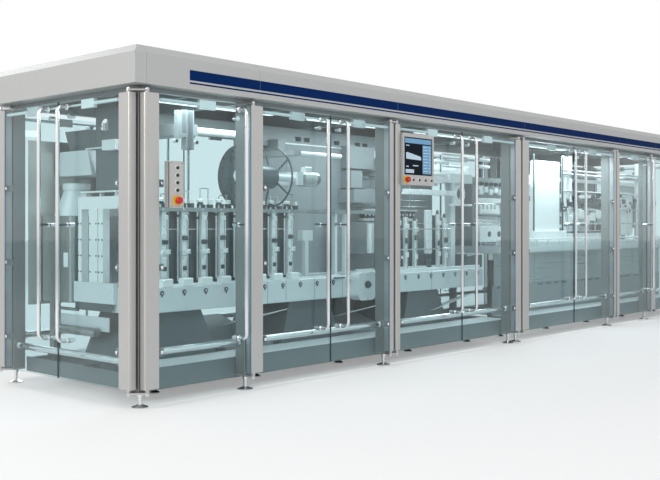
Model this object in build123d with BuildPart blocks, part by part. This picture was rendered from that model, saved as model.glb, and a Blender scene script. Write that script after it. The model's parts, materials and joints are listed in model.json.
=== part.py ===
from build123d import *
from collections import namedtuple
import os

os.makedirs("parts", exist_ok=True)

# Guard layout along a long side, in millimetres from the near corner
CORNER_SET = 73.0        # corner to the first door stile
WIDE = 115.0             # stile of a door that hangs beside one neighbour
NARROW = 60.0            # stile of two doors hung back to back
PAIR_GAP = 26.0          # between two narrow stiles
JOINT_GAP = 34.0         # between the two machine modules
DOOR_SPLIT = 8.0         # between two leaves, or beside a single leaf
END_CLEAR = 1454.0       # glazed width of an end

Bay = namedtuple("Bay", "name clear left_stile right_stile gap_after")
BAYS = [
    Bay("bay1", 845.0, WIDE, None, 0.0),
    Bay("bay2", 1516.0, WIDE, NARROW, PAIR_GAP),
    Bay("bay3", 1930.0, NARROW, WIDE, JOINT_GAP),
    Bay("bay4", 2006.0, WIDE, NARROW, PAIR_GAP),
    Bay("bay5", 936.0, NARROW, None, 0.0),
    Bay("bay6", 1516.0, WIDE, WIDE, 0.0),
]
END_BAY = [Bay("end", END_CLEAR, WIDE, WIDE, 0.0)]

# Heights from the floor
FOOT_TOP = 104.0
PLATE = 12.0             # pivot plate
GLASS_BOTTOM = 130.0
STILE_BOTTOM = 135.0
STILE_TOP = 2094.0
COLUMN_TOP = 2104.0
HEADER_HEIGHT = 80.0
FASCIA_BOTTOM = 2143.0
FASCIA_TOP = 2347.0
HEIGHT = 2400.0

# Door leaf
STILE_DEPTH = 62.0
GLASS = 10.0
GLASS_SET = 2.0          # glass behind the stile's front
CLAMP_HEIGHTS = (373.0, 937.0, 1498.0)
CLAMP_WIDTH = 48.0
CLAMP_HEIGHT = 50.0
CLAMP_DEPTH = 34.0
SCREW_RADIUS = 12.0
SCREW_HEAD = 4.0
PIN_RADIUS = 8.0
PIN_PLAY = 0.4
COLLAR_RADIUS = 15.0
STAY_HEIGHT = 2058.0
STAY_RADIUS = 15.0
STAY_ROD_RADIUS = 8.0
STAY_SHORT = 30.0        # stay ends this far before the free edge
STAY_BLOCK = (150.0, 26.0, 62.0)
STAY_SHARE = 0.52        # place of the clamp block along the leaf
STAY_BALL = 11.0
HANDLE_RADIUS = 14.0
HANDLE_BEND = 42.0
HANDLE_STAND = 76.0      # tube centre in front of the stile
HANDLE_BOTTOM = 405.0
HANDLE_TOP = 2050.0
HANDLE_MIDDLE = 1223.0
HANDLE_SET = 116.0       # tube centre to the leaf's free edge
STANDOFF_RADIUS = 8.0
BOSS_RADIUS = 17.0
BOSS_LENGTH = 42.0

# Guard frame
COLUMN = 104.0
COLUMN_SET = 130.0       # column centre behind the stile fronts
COLUMN_CHAMFER = 4.0
PLATE_NOSE = 16.0
FOOT_DISC_RADIUS = 57.5
FOOT_DISC = 22.0
FOOT_STEM_RADIUS = 12.5
FOOT_COLLAR_RADIUS = 20.0
FOOT_COLLAR = 24.0
RAIL_RADIUS = 25.0
RAIL_COLLAR_RADIUS = 36.0
RAIL_COLLAR = 26.0
SIDE_RAIL_HEIGHT = 360.0
END_RAIL_HEIGHT = 290.0
HEADER_WIDTH = 60.0
RIB = 10.0
SEAT = 0.3               # clearance where one piece rests on another

# Hood
OVERHANG = 30.0
SHEET = 3.0
BEVEL_IN = 50.0
HOOD_WRAP = 63.0         # end hood turns this far round the corner
HOOD_SEAM = 1.5
STRIPE_BOTTOM = 2205.0
STRIPE_TOP = 2275.0
LINE_BOTTOM = 2181.0
LINE_TOP = 2192.0
STRIPE_START = 424.0
STRIPE = 0.8

PIVOT = 31.0             # hinge axis from the stile's outer edge
PIVOT_DEPTH = 18.0       # hinge axis behind the stile's front
STILE_ROUND = 12.0       # outer corners, which turn past the neighbours
COLUMN_BOTTOM = FOOT_TOP + PLATE
HEADER_BOTTOM = COLUMN_TOP + PLATE
HEADER_TOP = HEADER_BOTTOM + HEADER_HEIGHT

Leaf = namedtuple("Leaf", "name face pivot hand stile glass")
DOORS = {
    "bay1": ["bay1_door"],
    "bay2": ["bay2_door_left", "bay2_door_right"],
    "bay3": ["bay3_door_left", "bay3_door_right"],
    "bay4": ["bay4_door_left", "bay4_door_right"],
    "bay5": ["bay5_door"],
    "bay6": [None, None],
    "end": ["end_door_far", "end_door_near"],
}


# Walk along one face: its leaves, its column centres and its length
def walk(bays, face):
    leaves = []
    columns = [COLUMN_SET]
    at = CORNER_SET
    for index, bay in enumerate(bays):
        if index > 0 and bay.left_stile == WIDE:
            columns.append(at + WIDE / 2)
        left_pivot = at + PIVOT
        at += bay.left_stile
        single = bay.right_stile is None
        glass = bay.clear - DOOR_SPLIT if single else (bay.clear - DOOR_SPLIT) / 2
        leaves.append(Leaf(DOORS[bay.name][0], face, left_pivot, 1, bay.left_stile, glass))
        at += bay.clear
        if single:
            continue
        at += bay.right_stile
        leaves.append(Leaf(DOORS[bay.name][1], face, at - PIVOT, -1, bay.right_stile, glass))
        if bay.gap_after == PAIR_GAP:
            columns.append(at + PAIR_GAP / 2)
        if bay.gap_after == JOINT_GAP:
            columns.append(at - WIDE / 2)
        at += bay.gap_after
    length = at + CORNER_SET
    columns.append(length - COLUMN_SET)
    return leaves, columns, length


front_leaves, COLUMNS, LENGTH = walk(BAYS, "front")
left_leaves, END_COLUMNS, DEPTH = walk(END_BAY, "left")
X0 = -LENGTH / 2
Y0 = -DEPTH / 2
FACES = {
    "front": Location((X0, Y0, 0)),
    "left": Location((X0, -Y0, 0), (0, 0, -90)),
    "back": Location((-X0, -Y0, 0), (0, 0, 180)),
    "right": Location((-X0, Y0, 0), (0, 0, 90)),
}
back_leaves = [
    leaf._replace(name=None, face="back", pivot=LENGTH - leaf.pivot, hand=-leaf.hand)
    for leaf in front_leaves
]
right_leaves = [leaf._replace(name=None, face="right") for leaf in left_leaves]
ALL_LEAVES = front_leaves + left_leaves + back_leaves + right_leaves
MOVING = [leaf for leaf in ALL_LEAVES if leaf.name]
FIXED = [leaf for leaf in ALL_LEAVES if not leaf.name]


# Set a leaf's piece, drawn about its hinge axis, in its place in the guard
def placed(shape, leaf):
    if leaf.hand < 0:
        shape = shape.mirror(Plane.YZ)
    return FACES[leaf.face] * Location((leaf.pivot, PIVOT_DEPTH, 0)) * shape


# Finish a sub-part: label it and write its file
def save(builder, name):
    builder.part.label = name
    export_step(builder.part, f"parts/{name}.step")


# A box from its low corner, in distances from the near corner of the guard
def block(s, t, z, along, deep, high):
    blocks([(s, t, z)], along, deep, high)


# Equal boxes from a list of low corners
def blocks(corners, along, deep, high):
    with Locations(*[(X0 + s, Y0 + t, z) for s, t, z in corners]):
        Box(along, deep, high, align=(Align.MIN, Align.MIN, Align.MIN))


# A round bar along X, Y or Z from its start point
def bar(s, t, z, radius, length, axis="X"):
    turn = {"X": (0, 90, 0), "Y": (-90, 0, 0), "Z": (0, 0, 0)}[axis]
    with Locations(Location((X0 + s, Y0 + t, z), turn)):
        Cylinder(radius, length, align=(Align.CENTER, Align.CENTER, Align.MIN))


# Stile with its hinge pins, drawn about the hinge axis
def stile(width):
    with BuildPart() as made:
        with BuildSketch(Plane.XY.offset(STILE_BOTTOM)) as section:
            with Locations((width / 2 - PIVOT, STILE_DEPTH / 2 - PIVOT_DEPTH)):
                Rectangle(width, STILE_DEPTH)
            fillet(section.vertices().group_by(Axis.X)[0], radius=STILE_ROUND)
        extrude(amount=STILE_TOP - STILE_BOTTOM)
        with BuildSketch(Plane.XY.offset(COLUMN_BOTTOM + SEAT)):
            Circle(COLLAR_RADIUS)
        extrude(amount=STILE_BOTTOM - COLUMN_BOTTOM - SEAT)
        with BuildSketch(Plane.XY.offset(STILE_TOP)):
            Circle(COLLAR_RADIUS)
        extrude(amount=COLUMN_TOP - STILE_TOP - SEAT)
        with BuildSketch(Plane.XY.offset(FOOT_TOP + SEAT)):
            Circle(PIN_RADIUS)
        extrude(amount=COLUMN_BOTTOM + SEAT - FOOT_TOP)
        with BuildSketch(Plane.XY.offset(COLUMN_TOP - 2 * SEAT)):
            Circle(PIN_RADIUS)
        extrude(amount=PLATE)
    return made.part


# Glass clamps on the stile's inner side, with the screw heads outside
def clamps(width):
    edge = width - PIVOT
    glass_front = -PIVOT_DEPTH + GLASS_SET
    with BuildPart() as made:
        for height in CLAMP_HEIGHTS:
            with Locations((edge + SEAT, glass_front + GLASS, height)):
                Box(CLAMP_WIDTH, CLAMP_DEPTH, CLAMP_HEIGHT, align=(Align.MIN, Align.MIN, Align.CENTER))
            with Locations(Location((edge + CLAMP_WIDTH / 2, glass_front, height), (90, 0, 0))):
                Cylinder(SCREW_RADIUS, SCREW_HEAD, align=(Align.CENTER, Align.CENTER, Align.MIN))
    return made.part


# Stay behind the top of the glass: ball at the stile, rail, clamp block and rod
def stay(width, glass):
    edge = width - PIVOT
    back = -PIVOT_DEPTH + GLASS_SET + GLASS
    centre = back + STAY_BLOCK[1] / 2
    start = edge + STAY_BALL + SEAT
    middle = edge + glass * STAY_SHARE
    end = edge + glass - STAY_SHORT
    with BuildPart() as made:
        with Locations((start, centre, STAY_HEIGHT)):
            Sphere(STAY_BALL)
        with Locations(Location((start, centre, STAY_HEIGHT), (0, 90, 0))):
            Cylinder(STAY_ROD_RADIUS, end - start, align=(Align.CENTER, Align.CENTER, Align.MIN))
        with Locations(Location((start + 2 * STAY_BALL, centre + SEAT, STAY_HEIGHT), (0, 90, 0))):
            Cylinder(STAY_RADIUS - 2, middle - start, align=(Align.CENTER, Align.CENTER, Align.MIN))
        with Locations((middle, centre, STAY_HEIGHT)):
            Box(*STAY_BLOCK)
    return made.part


# Bent tube handle on its stand-offs, in front of the glass
def handle(width, glass):
    grip_x = width - PIVOT + glass - HANDLE_SET
    glass_front = -PIVOT_DEPTH + GLASS_SET
    grip_y = -PIVOT_DEPTH - HANDLE_STAND
    with BuildPart() as made:
        with BuildLine() as path:
            FilletPolyline(
                (grip_x, glass_front, HANDLE_BOTTOM),
                (grip_x, grip_y, HANDLE_BOTTOM),
                (grip_x, grip_y, HANDLE_TOP),
                (grip_x, glass_front, HANDLE_TOP),
                radius=HANDLE_BEND,
            )
        with BuildSketch(Plane((grip_x, glass_front, HANDLE_BOTTOM), z_dir=(0, -1, 0))):
            Circle(HANDLE_RADIUS)
        sweep()
        with Locations(Location((grip_x, glass_front, HANDLE_MIDDLE), (90, 0, 0))):
            Cylinder(STANDOFF_RADIUS, glass_front - grip_y, align=(Align.CENTER, Align.CENTER, Align.MIN))
    return made.part


# Nuts of the handle behind the glass
def handle_bosses(width, glass):
    grip_x = width - PIVOT + glass - HANDLE_SET
    back = -PIVOT_DEPTH + GLASS_SET + GLASS
    with BuildPart() as made:
        for height in (HANDLE_BOTTOM, HANDLE_MIDDLE, HANDLE_TOP - STAY_BLOCK[2]):
            with Locations(Location((grip_x, back, height), (-90, 0, 0))):
                Cylinder(BOSS_RADIUS, BOSS_LENGTH, align=(Align.CENTER, Align.CENTER, Align.MIN))
    return made.part


# Glass sheet of a leaf
def pane(width, glass):
    with BuildPart() as made:
        with Locations((width - PIVOT + GLASS_SET, -PIVOT_DEPTH + GLASS_SET, GLASS_BOTTOM)):
            Box(
                glass - GLASS_SET,
                GLASS,
                STILE_TOP - GLASS_BOTTOM,
                align=(Align.MIN, Align.MIN, Align.MIN),
            )
    return made.part


# Steel pieces of a leaf, without its handle
def frame_pieces(leaf):
    return [
        stile(leaf.stile),
        clamps(leaf.stile),
        stay(leaf.stile, leaf.glass),
        handle_bosses(leaf.stile, leaf.glass),
    ]


# Moving doors, each a steel frame and a glass
for leaf in MOVING:
    pieces = frame_pieces(leaf) + [handle(leaf.stile, leaf.glass)]
    with BuildPart() as door_frame:
        add([placed(piece, leaf) for piece in pieces])
    save(door_frame, f"{leaf.name}_frame")
    with BuildPart() as door_glass:
        add(placed(pane(leaf.stile, leaf.glass), leaf))
    save(door_glass, f"{leaf.name}_glass")

# Leaves of the far bay, the back and the far end, closed
with BuildPart() as fixed_door_frames:
    add([placed(piece, leaf) for leaf in FIXED for piece in frame_pieces(leaf)])
    add([placed(handle(leaf.stile, leaf.glass), leaf) for leaf in FIXED])
save(fixed_door_frames, "fixed_door_frames")

with BuildPart() as fixed_door_glass:
    add([placed(pane(leaf.stile, leaf.glass), leaf) for leaf in FIXED])
save(fixed_door_glass, "fixed_door_glass")

# Button box on the first door, and the operator panel on the left door of bay 3
BOX_PLACE = 235.0        # from the near corner
BOX = (115.0, 60.0, 313.0)
BOX_BOTTOM = 1334.0
PANEL_PLACE = 2816.0
PANEL = (462.0, 24.0, 452.0)
PANEL_BOTTOM = 1571.0
SCREEN = (403.0, 323.0)
SCREEN_MARGIN = 36.0
BUTTON_RADIUS = 12.0
BUTTON = 10.0
STOP_RADIUS = 19.0
STOP = 34.0
STOP_PLATE = 62.0
STOP_PLATE_DEPTH = 4.0
GLASS_FRONT = GLASS_SET  # glass front, from the stile fronts

# Round buttons in a row, and a mushroom stop button on its square plate
def buttons(face_t, places, stop_place):
    for s, z in places:
        with Locations(Location((X0 + s, Y0 + face_t, z), (90, 0, 0))):
            Cylinder(BUTTON_RADIUS, BUTTON, align=(Align.CENTER, Align.CENTER, Align.MIN))
    s, z = stop_place
    with Locations((X0 + s, Y0 + face_t, z)):
        Box(STOP_PLATE, STOP_PLATE_DEPTH, STOP_PLATE, align=(Align.CENTER, Align.MAX, Align.CENTER))
    with Locations(Location((X0 + s, Y0 + face_t - STOP_PLATE_DEPTH, z), (90, 0, 0))):
        Cylinder(STOP_RADIUS * 0.6, STOP, align=(Align.CENTER, Align.CENTER, Align.MIN))
        with Locations((0, 0, STOP / 2)):
            Cylinder(STOP_RADIUS, STOP / 2, align=(Align.CENTER, Align.CENTER, Align.MIN))


BUTTON_PITCH = 50.0
with BuildPart() as button_box:
    block(BOX_PLACE, GLASS_FRONT - BOX[1], BOX_BOTTOM, *BOX)
    fillet(button_box.edges().filter_by(Axis.Y), radius=8)
save(button_box, "button_box")
with BuildPart() as button_box_buttons:
    box_middle = BOX_PLACE + BOX[0] / 2
    box_top = BOX_BOTTOM + BOX[2]
    rows = [(box_middle, box_top - 45 - BUTTON_PITCH * i) for i in range(4)]
    buttons(GLASS_FRONT - BOX[1] - SEAT, rows, (box_middle, BOX_BOTTOM + 50))
save(button_box_buttons, "button_box_buttons")

with BuildPart() as control_panel:
    block(PANEL_PLACE, GLASS_FRONT - PANEL[1], PANEL_BOTTOM, *PANEL)
    fillet(control_panel.edges().filter_by(Axis.Y), radius=6)
    screen_bottom = PANEL_BOTTOM + PANEL[2] - SCREEN_MARGIN - SCREEN[1]
    with BuildSketch(Plane.XZ.offset(-(Y0 + GLASS_FRONT - PANEL[1]))):
        with Locations((X0 + PANEL_PLACE + PANEL[0] / 2, screen_bottom + SCREEN[1] / 2)):
            Rectangle(*SCREEN)
    extrude(amount=-4, mode=Mode.SUBTRACT)
save(control_panel, "control_panel")
with BuildPart() as control_panel_buttons:
    row_height = PANEL_BOTTOM + 46
    row = [(PANEL_PLACE + 147 + 90 * i, row_height) for i in range(4)]
    buttons(GLASS_FRONT - PANEL[1] - SEAT, row, (PANEL_PLACE + 50, row_height))
save(control_panel_buttons, "control_panel_buttons")

# Columns of the guard, at both long sides
COLUMN_LINES = (COLUMN_SET, DEPTH - COLUMN_SET)
COLUMN_CENTRES = sorted(set(COLUMNS))
with BuildPart() as guard_columns:
    corners = [
        (s - COLUMN / 2, t - COLUMN / 2, COLUMN_BOTTOM)
        for s in COLUMN_CENTRES for t in COLUMN_LINES
    ]
    blocks(corners, COLUMN, COLUMN, COLUMN_TOP - COLUMN_BOTTOM)
    chamfer(guard_columns.edges().filter_by(Axis.Z), length=COLUMN_CHAMFER)
save(guard_columns, "guard_columns")

# Plan points of every hinge axis
PIVOTS = []
for leaf in ALL_LEAVES:
    point = (FACES[leaf.face] * Location((leaf.pivot, PIVOT_DEPTH, 0))).position
    PIVOTS.append((point.X, point.Y))


COLUMN_POINTS = [(X0 + s, Y0 + t) for s in COLUMN_CENTRES for t in COLUMN_LINES]


# Column that carries a hinge axis
def nearest_column(point):
    return min(COLUMN_POINTS, key=lambda c: (c[0] - point[0]) ** 2 + (c[1] - point[1]) ** 2)


# Plate under or over a column, drawn out to the hinge pins that it holds
def pivot_plate(centre, bottom):
    near = [p for p in PIVOTS if nearest_column(p) == centre]
    with BuildPart() as made:
        with BuildSketch(Plane.XY.offset(bottom)):
            with Locations(centre):
                Rectangle(COLUMN, COLUMN)
            with Locations(*near):
                Circle(PLATE_NOSE)
            make_hull()
            with Locations(*near):
                Circle(PIN_RADIUS + PIN_PLAY, mode=Mode.SUBTRACT)
        extrude(amount=PLATE)
    return made.part


with BuildPart() as pivot_plates:
    add([pivot_plate(centre, z) for centre in COLUMN_POINTS for z in (FOOT_TOP, COLUMN_TOP)])
save(pivot_plates, "pivot_plates")


# Levelling foot: domed disc, stem and lock collar
def foot(height, disc_radius, stem_radius, collar_radius):
    with BuildPart() as made:
        with BuildSketch(Plane.XZ):
            with BuildLine():
                Polyline(
                    (0, 0),
                    (disc_radius, 0),
                    (disc_radius, FOOT_DISC / 3),
                    (disc_radius * 0.5, FOOT_DISC * 0.8),
                    (stem_radius + 4, FOOT_DISC),
                    (stem_radius, FOOT_DISC),
                    (stem_radius, height - FOOT_COLLAR),
                    (collar_radius, height - FOOT_COLLAR),
                    (collar_radius, height),
                    (0, height),
                    close=True,
                )
            make_face()
        revolve(axis=Axis.Z)
    return made.part


# Round rails low between the columns, with a collar at each end
with BuildPart() as lower_rails:
    for first, last in zip(COLUMN_CENTRES, COLUMN_CENTRES[1:]):
        start = first + COLUMN / 2 + SEAT
        span = last - first - COLUMN - 2 * SEAT
        if span < 4 * RAIL_COLLAR:
            continue
        for t in COLUMN_LINES:
            bar(start, t, SIDE_RAIL_HEIGHT, RAIL_RADIUS, span)
            bar(start, t, SIDE_RAIL_HEIGHT, RAIL_COLLAR_RADIUS, RAIL_COLLAR)
            bar(start + span - RAIL_COLLAR, t, SIDE_RAIL_HEIGHT, RAIL_COLLAR_RADIUS, RAIL_COLLAR)
    start = COLUMN_SET + COLUMN / 2 + SEAT
    span = DEPTH - 2 * start
    for s in (COLUMN_SET, LENGTH - COLUMN_SET):
        bar(s, start, END_RAIL_HEIGHT, RAIL_RADIUS, span, "Y")
        bar(s, start, END_RAIL_HEIGHT, RAIL_COLLAR_RADIUS, RAIL_COLLAR, "Y")
        bar(s, start + span - RAIL_COLLAR, END_RAIL_HEIGHT, RAIL_COLLAR_RADIUS, RAIL_COLLAR, "Y")
save(lower_rails, "lower_rails")

# Header rails on the column tops, and ribs that carry the roof
HEADER_FACE = COLUMN_SET - HEADER_WIDTH / 2
with BuildPart() as header_frame:
    for t in COLUMN_LINES:
        block(
            HEADER_FACE,
            t - HEADER_WIDTH / 2,
            HEADER_BOTTOM,
            LENGTH - 2 * HEADER_FACE,
            HEADER_WIDTH,
            HEADER_HEIGHT,
        )
    cross_start = COLUMN_SET + HEADER_WIDTH / 2 + SEAT
    for s in COLUMN_CENTRES:
        block(
            s - HEADER_WIDTH / 2,
            cross_start,
            HEADER_BOTTOM,
            HEADER_WIDTH,
            DEPTH - 2 * cross_start,
            HEADER_HEIGHT,
        )
save(header_frame, "header_frame")
ROOF_BOTTOM = HEIGHT - SHEET
with BuildPart() as roof_ribs:
    for s in COLUMN_CENTRES:
        block(
            s - RIB / 2,
            HEADER_FACE,
            HEADER_TOP,
            RIB,
            DEPTH - 2 * HEADER_FACE,
            ROOF_BOTTOM - SEAT - HEADER_TOP,
        )
save(roof_ribs, "roof_ribs")


# Hood block with its bevelled top edge, drawn in by an inset
def hood_block(inset, bottom):
    low = (LENGTH + 2 * (OVERHANG - inset), DEPTH + 2 * (OVERHANG - inset))
    high = (low[0] - 2 * BEVEL_IN, low[1] - 2 * BEVEL_IN)
    with BuildPart() as made:
        with BuildSketch(Plane.XY.offset(bottom)):
            Rectangle(*low)
        extrude(amount=FASCIA_TOP - bottom)
        with BuildSketch(Plane.XY.offset(FASCIA_TOP)):
            Rectangle(*low)
        with BuildSketch(Plane.XY.offset(HEIGHT)):
            Rectangle(*high)
        loft()
    return made.part


# Whole hood: fascia, bevel and the soffit strip that reaches the header rails
with BuildPart() as hood:
    add(hood_block(0, FASCIA_BOTTOM))
    add(hood_block(SHEET, FASCIA_BOTTOM + SHEET), mode=Mode.SUBTRACT)
    with BuildSketch(Plane.XY.offset(FASCIA_BOTTOM)):
        Rectangle(LENGTH - 2 * (HEADER_FACE - SEAT), DEPTH - 2 * (HEADER_FACE - SEAT))
    extrude(amount=SHEET, mode=Mode.SUBTRACT)

SEAMS = [HOOD_WRAP] + COLUMN_CENTRES[1:-1] + [LENGTH - HOOD_WRAP]
JOINT_SEAM = sum(COLUMN_CENTRES[3:5]) / 2
SEAMS = [s for s in SEAMS if abs(s - JOINT_SEAM) > WIDE]
SEAMS = sorted(SEAMS + [JOINT_SEAM])


# Part of the hood between two seams, over a band of its depth
def hood_piece(first, last, low_y, high_y):
    with BuildPart() as cut:
        with Locations((X0 + first, low_y, FASCIA_BOTTOM)):
            Box(
                last - first,
                high_y - low_y,
                HEIGHT - FASCIA_BOTTOM,
                align=(Align.MIN, Align.MIN, Align.MIN),
            )
        add(hood.part, mode=Mode.INTERSECT)
    return cut.part


HOOD_HALF = DEPTH / 2 + OVERHANG
for name, low_y, high_y in (("hood_front", -HOOD_HALF, 0), ("hood_back", 0, HOOD_HALF)):
    with BuildPart() as hood_side:
        for first, last in zip(SEAMS, SEAMS[1:]):
            add(hood_piece(first + HOOD_SEAM / 2, last - HOOD_SEAM / 2, low_y, high_y))
    save(hood_side, name)
with BuildPart() as hood_ends:
    add(hood_piece(-OVERHANG, HOOD_WRAP - HOOD_SEAM / 2, -HOOD_HALF, HOOD_HALF))
    add(hood_piece(LENGTH - HOOD_WRAP + HOOD_SEAM / 2, LENGTH + OVERHANG, -HOOD_HALF, HOOD_HALF))
save(hood_ends, "hood_ends")

# Blue band and thin line on the front fascia
with BuildPart() as hood_stripe:
    ends = [STRIPE_START] + [s for s in SEAMS if s > STRIPE_START]
    ends[-1] = LENGTH + OVERHANG
    for first, last in zip(ends, ends[1:]):
        for low, high in ((STRIPE_BOTTOM, STRIPE_TOP), (LINE_BOTTOM, LINE_TOP)):
            block(first + HOOD_SEAM, -OVERHANG - STRIPE, low, last - first - 2 * HOOD_SEAM, STRIPE, high - low)
save(hood_stripe, "hood_stripe")

# Roof sheets between the bevels, one for each hood length
ROOF_SET = BEVEL_IN - OVERHANG + SHEET + SEAT
with BuildPart() as roof_sheets:
    ends = [ROOF_SET - HOOD_SEAM / 2] + SEAMS[1:-1] + [LENGTH - ROOF_SET + HOOD_SEAM / 2]
    for first, last in zip(ends, ends[1:]):
        block(
            first + HOOD_SEAM / 2,
            ROOF_SET,
            ROOF_BOTTOM,
            last - first - HOOD_SEAM,
            DEPTH - 2 * ROOF_SET,
            SHEET,
        )
save(roof_sheets, "roof_sheets")

# Machine of the first module: bed, pedestals and floor frame
BED_START = 350.0
BED_END = 4830.0
BED_FRONT = 450.0
BED_BACK = 1200.0
BED_BOTTOM = 583.0
BED_TOP = 767.0
BASE_BOTTOM = 120.0
BASE = 90.0
BASE_LINES = (520.0, 1560.0)
OUT_START = 5080.0
OUT_END = 9560.0
BASE_ENDS = ((BED_START, BED_END), (OUT_START, OUT_END))
CROSS_COUNT = 5
END_BOX_OUT = 30.0       # box on the bed's near end
END_BOX_FRONT = 692.0
END_BOX_HEIGHT = 151.0
END_BOX_RISE = 28.0
GEAR_BLOCK = (2780.0, 240.0, 105.0, 248.0)  # centre, length, depth and height
GEAR_ROUND = 60.0

with BuildPart() as machine_bed:
    block(BED_START, BED_FRONT, BED_BOTTOM, BED_END - BED_START, BED_BACK - BED_FRONT, BED_TOP - BED_BOTTOM)
    chamfer(machine_bed.edges().filter_by(Axis.X), length=6)
    block(
        BED_START - END_BOX_OUT,
        END_BOX_FRONT,
        BED_TOP + END_BOX_RISE - END_BOX_HEIGHT,
        END_BOX_OUT - SEAT,
        BED_BACK - END_BOX_FRONT,
        END_BOX_HEIGHT,
    )
    with BuildSketch(Plane.XZ.offset(-(Y0 + BED_FRONT - SEAT))):
        with Locations((X0 + GEAR_BLOCK[0], (BED_BOTTOM + BED_TOP) / 2)):
            RectangleRounded(GEAR_BLOCK[1], GEAR_BLOCK[3], radius=GEAR_ROUND)
    extrude(amount=GEAR_BLOCK[2])
save(machine_bed, "machine_bed")


# Even places between two ends, both ends counted
def spread(first, last, count):
    return [first + (last - first) * i / (count - 1) for i in range(count)]


CROSS_WIDTH = 80.0
with BuildPart() as base_frame:
    for first, last in BASE_ENDS:
        for t in BASE_LINES:
            block(first, t - BASE / 2, BASE_BOTTOM, last - first, BASE, BASE)
        start = BASE_LINES[0] + BASE / 2 + SEAT
        places = spread(first + 100, last - 100, CROSS_COUNT)
        corners = [(s - CROSS_WIDTH / 2, start, BASE_BOTTOM) for s in places]
        blocks(corners, CROSS_WIDTH, BASE_LINES[1] - BASE / 2 - SEAT - start, BASE)
    ties = [(BED_END + SEAT, t - BASE / 2, BASE_BOTTOM) for t in BASE_LINES]
    blocks(ties, OUT_START - BED_END - 2 * SEAT, BASE, BASE)
save(base_frame, "base_frame")

# Feet under the guard columns and, smaller, under the machine
BASE_FOOT_SET = 200.0
guard_foot = foot(FOOT_TOP, FOOT_DISC_RADIUS, FOOT_STEM_RADIUS, FOOT_COLLAR_RADIUS)
base_foot = foot(BASE_BOTTOM, 40, 10, 16)
base_foot_points = [
    (X0 + s, Y0 + t)
    for first, last in BASE_ENDS
    for s in spread(first + BASE_FOOT_SET, last - BASE_FOOT_SET, CROSS_COUNT)
    for t in BASE_LINES
]
with BuildPart() as levelling_feet:
    add([Location((x, y, 0)) * guard_foot for x, y in COLUMN_POINTS])
    add([Location((x, y, 0)) * base_foot for x, y in base_foot_points])
save(levelling_feet, "levelling_feet")

# Tapered pedestals from the cross beams to the bed
PEDESTAL_FOOT = (760.0, 680.0)
PEDESTAL_HEAD = (480.0, 600.0)
PEDESTAL_LINE = 855.0
PEDESTALS = (780.0, 2240.0, 3900.0)
BASE_TOP = BASE_BOTTOM + BASE
with BuildPart() as bed_pedestals:
    for s in PEDESTALS:
        with BuildSketch(Plane.XY.offset(BASE_TOP)):
            with Locations((X0 + s, Y0 + PEDESTAL_LINE)):
                Rectangle(*PEDESTAL_FOOT)
        with BuildSketch(Plane.XY.offset(BED_BOTTOM)):
            with Locations((X0 + s, Y0 + PEDESTAL_LINE)):
                Rectangle(*PEDESTAL_HEAD)
        loft()
save(bed_pedestals, "bed_pedestals")

# Gripper blocks that carry the packs along the front of the bed
CARRIER_PITCH = 191.0
CARRIER_COUNT = 8
CARRIER_FIRST = 625.0
CARRIER = (92.0, 62.0, 58.0)
with BuildPart() as pack_carriers:
    places = [CARRIER_FIRST + CARRIER_PITCH * i for i in range(CARRIER_COUNT)]
    blocks([(s - CARRIER[0] / 2, BED_FRONT, BED_TOP) for s in places], *CARRIER)
    chamfer(pack_carriers.faces().group_by(Axis.Z)[-1].edges().filter_by(Axis.X), length=8)
save(pack_carriers, "pack_carriers")

# Upright sealing bars on the bed, each with its clamp, dark plate and fitting
BAR_COUNT = 8
BAR_SET = 50.0           # bar behind its carrier along the line
BAR_FRONT = 560.0
BAR_TOP = 1322.0
BAR = (40.0, 34.0)
PLATE_BEHIND = 26.0
PLATE_WIDTH = 140.0
CLAMP_JAW = (72.0, 30.0, 34.0)
CLAMP_JAW_HEIGHT = 1004.0
FEELER = (2368.0, 750.0, 1081.0)      # square block on a post behind the bed's front
FEELER_BLOCK = (135.0, 60.0, 93.0)
FEELER_POST = (43.0, 40.0)
FITTING_RADIUS = 17.0
FITTING = 14.0
FITTING_HEIGHT = 806.0
STATIONS = [CARRIER_FIRST + BAR_SET + CARRIER_PITCH * i for i in range(BAR_COUNT)]
BAR_HEIGHT = BAR_TOP - BED_TOP
with BuildPart() as seal_bars:
    blocks([(s - BAR[0] / 2, BAR_FRONT, BED_TOP) for s in STATIONS], *BAR, BAR_HEIGHT)
    second = [(s + 0.7 * BAR[0], BAR_FRONT + BAR[1], BED_TOP) for s in STATIONS]
    blocks(second, BAR[0] / 2, BAR[1], BAR_HEIGHT)
    jaw_front = BAR_FRONT - CLAMP_JAW[1] - SEAT
    blocks([(s - CLAMP_JAW[0] / 2, jaw_front, CLAMP_JAW_HEIGHT) for s in STATIONS], *CLAMP_JAW)
    block(*FEELER, *FEELER_BLOCK)
    block(
        FEELER[0] + (FEELER_BLOCK[0] - FEELER_POST[0]) / 2,
        FEELER[1] + (FEELER_BLOCK[1] - FEELER_POST[1]) / 2,
        BED_TOP,
        *FEELER_POST,
        FEELER[2] - SEAT - BED_TOP,
    )
save(seal_bars, "seal_bars")
with BuildPart() as jaw_plates:
    plates = [(s - PLATE_WIDTH / 2, BAR_FRONT + 2 * BAR[1] + 6, BED_TOP) for s in STATIONS]
    blocks(plates, PLATE_WIDTH, PLATE_BEHIND, BAR_HEIGHT)
    for s in STATIONS:
        bar(s, BAR_FRONT - FITTING - SEAT, FITTING_HEIGHT, FITTING_RADIUS, FITTING, "Y")
save(jaw_plates, "jaw_plates")

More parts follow.
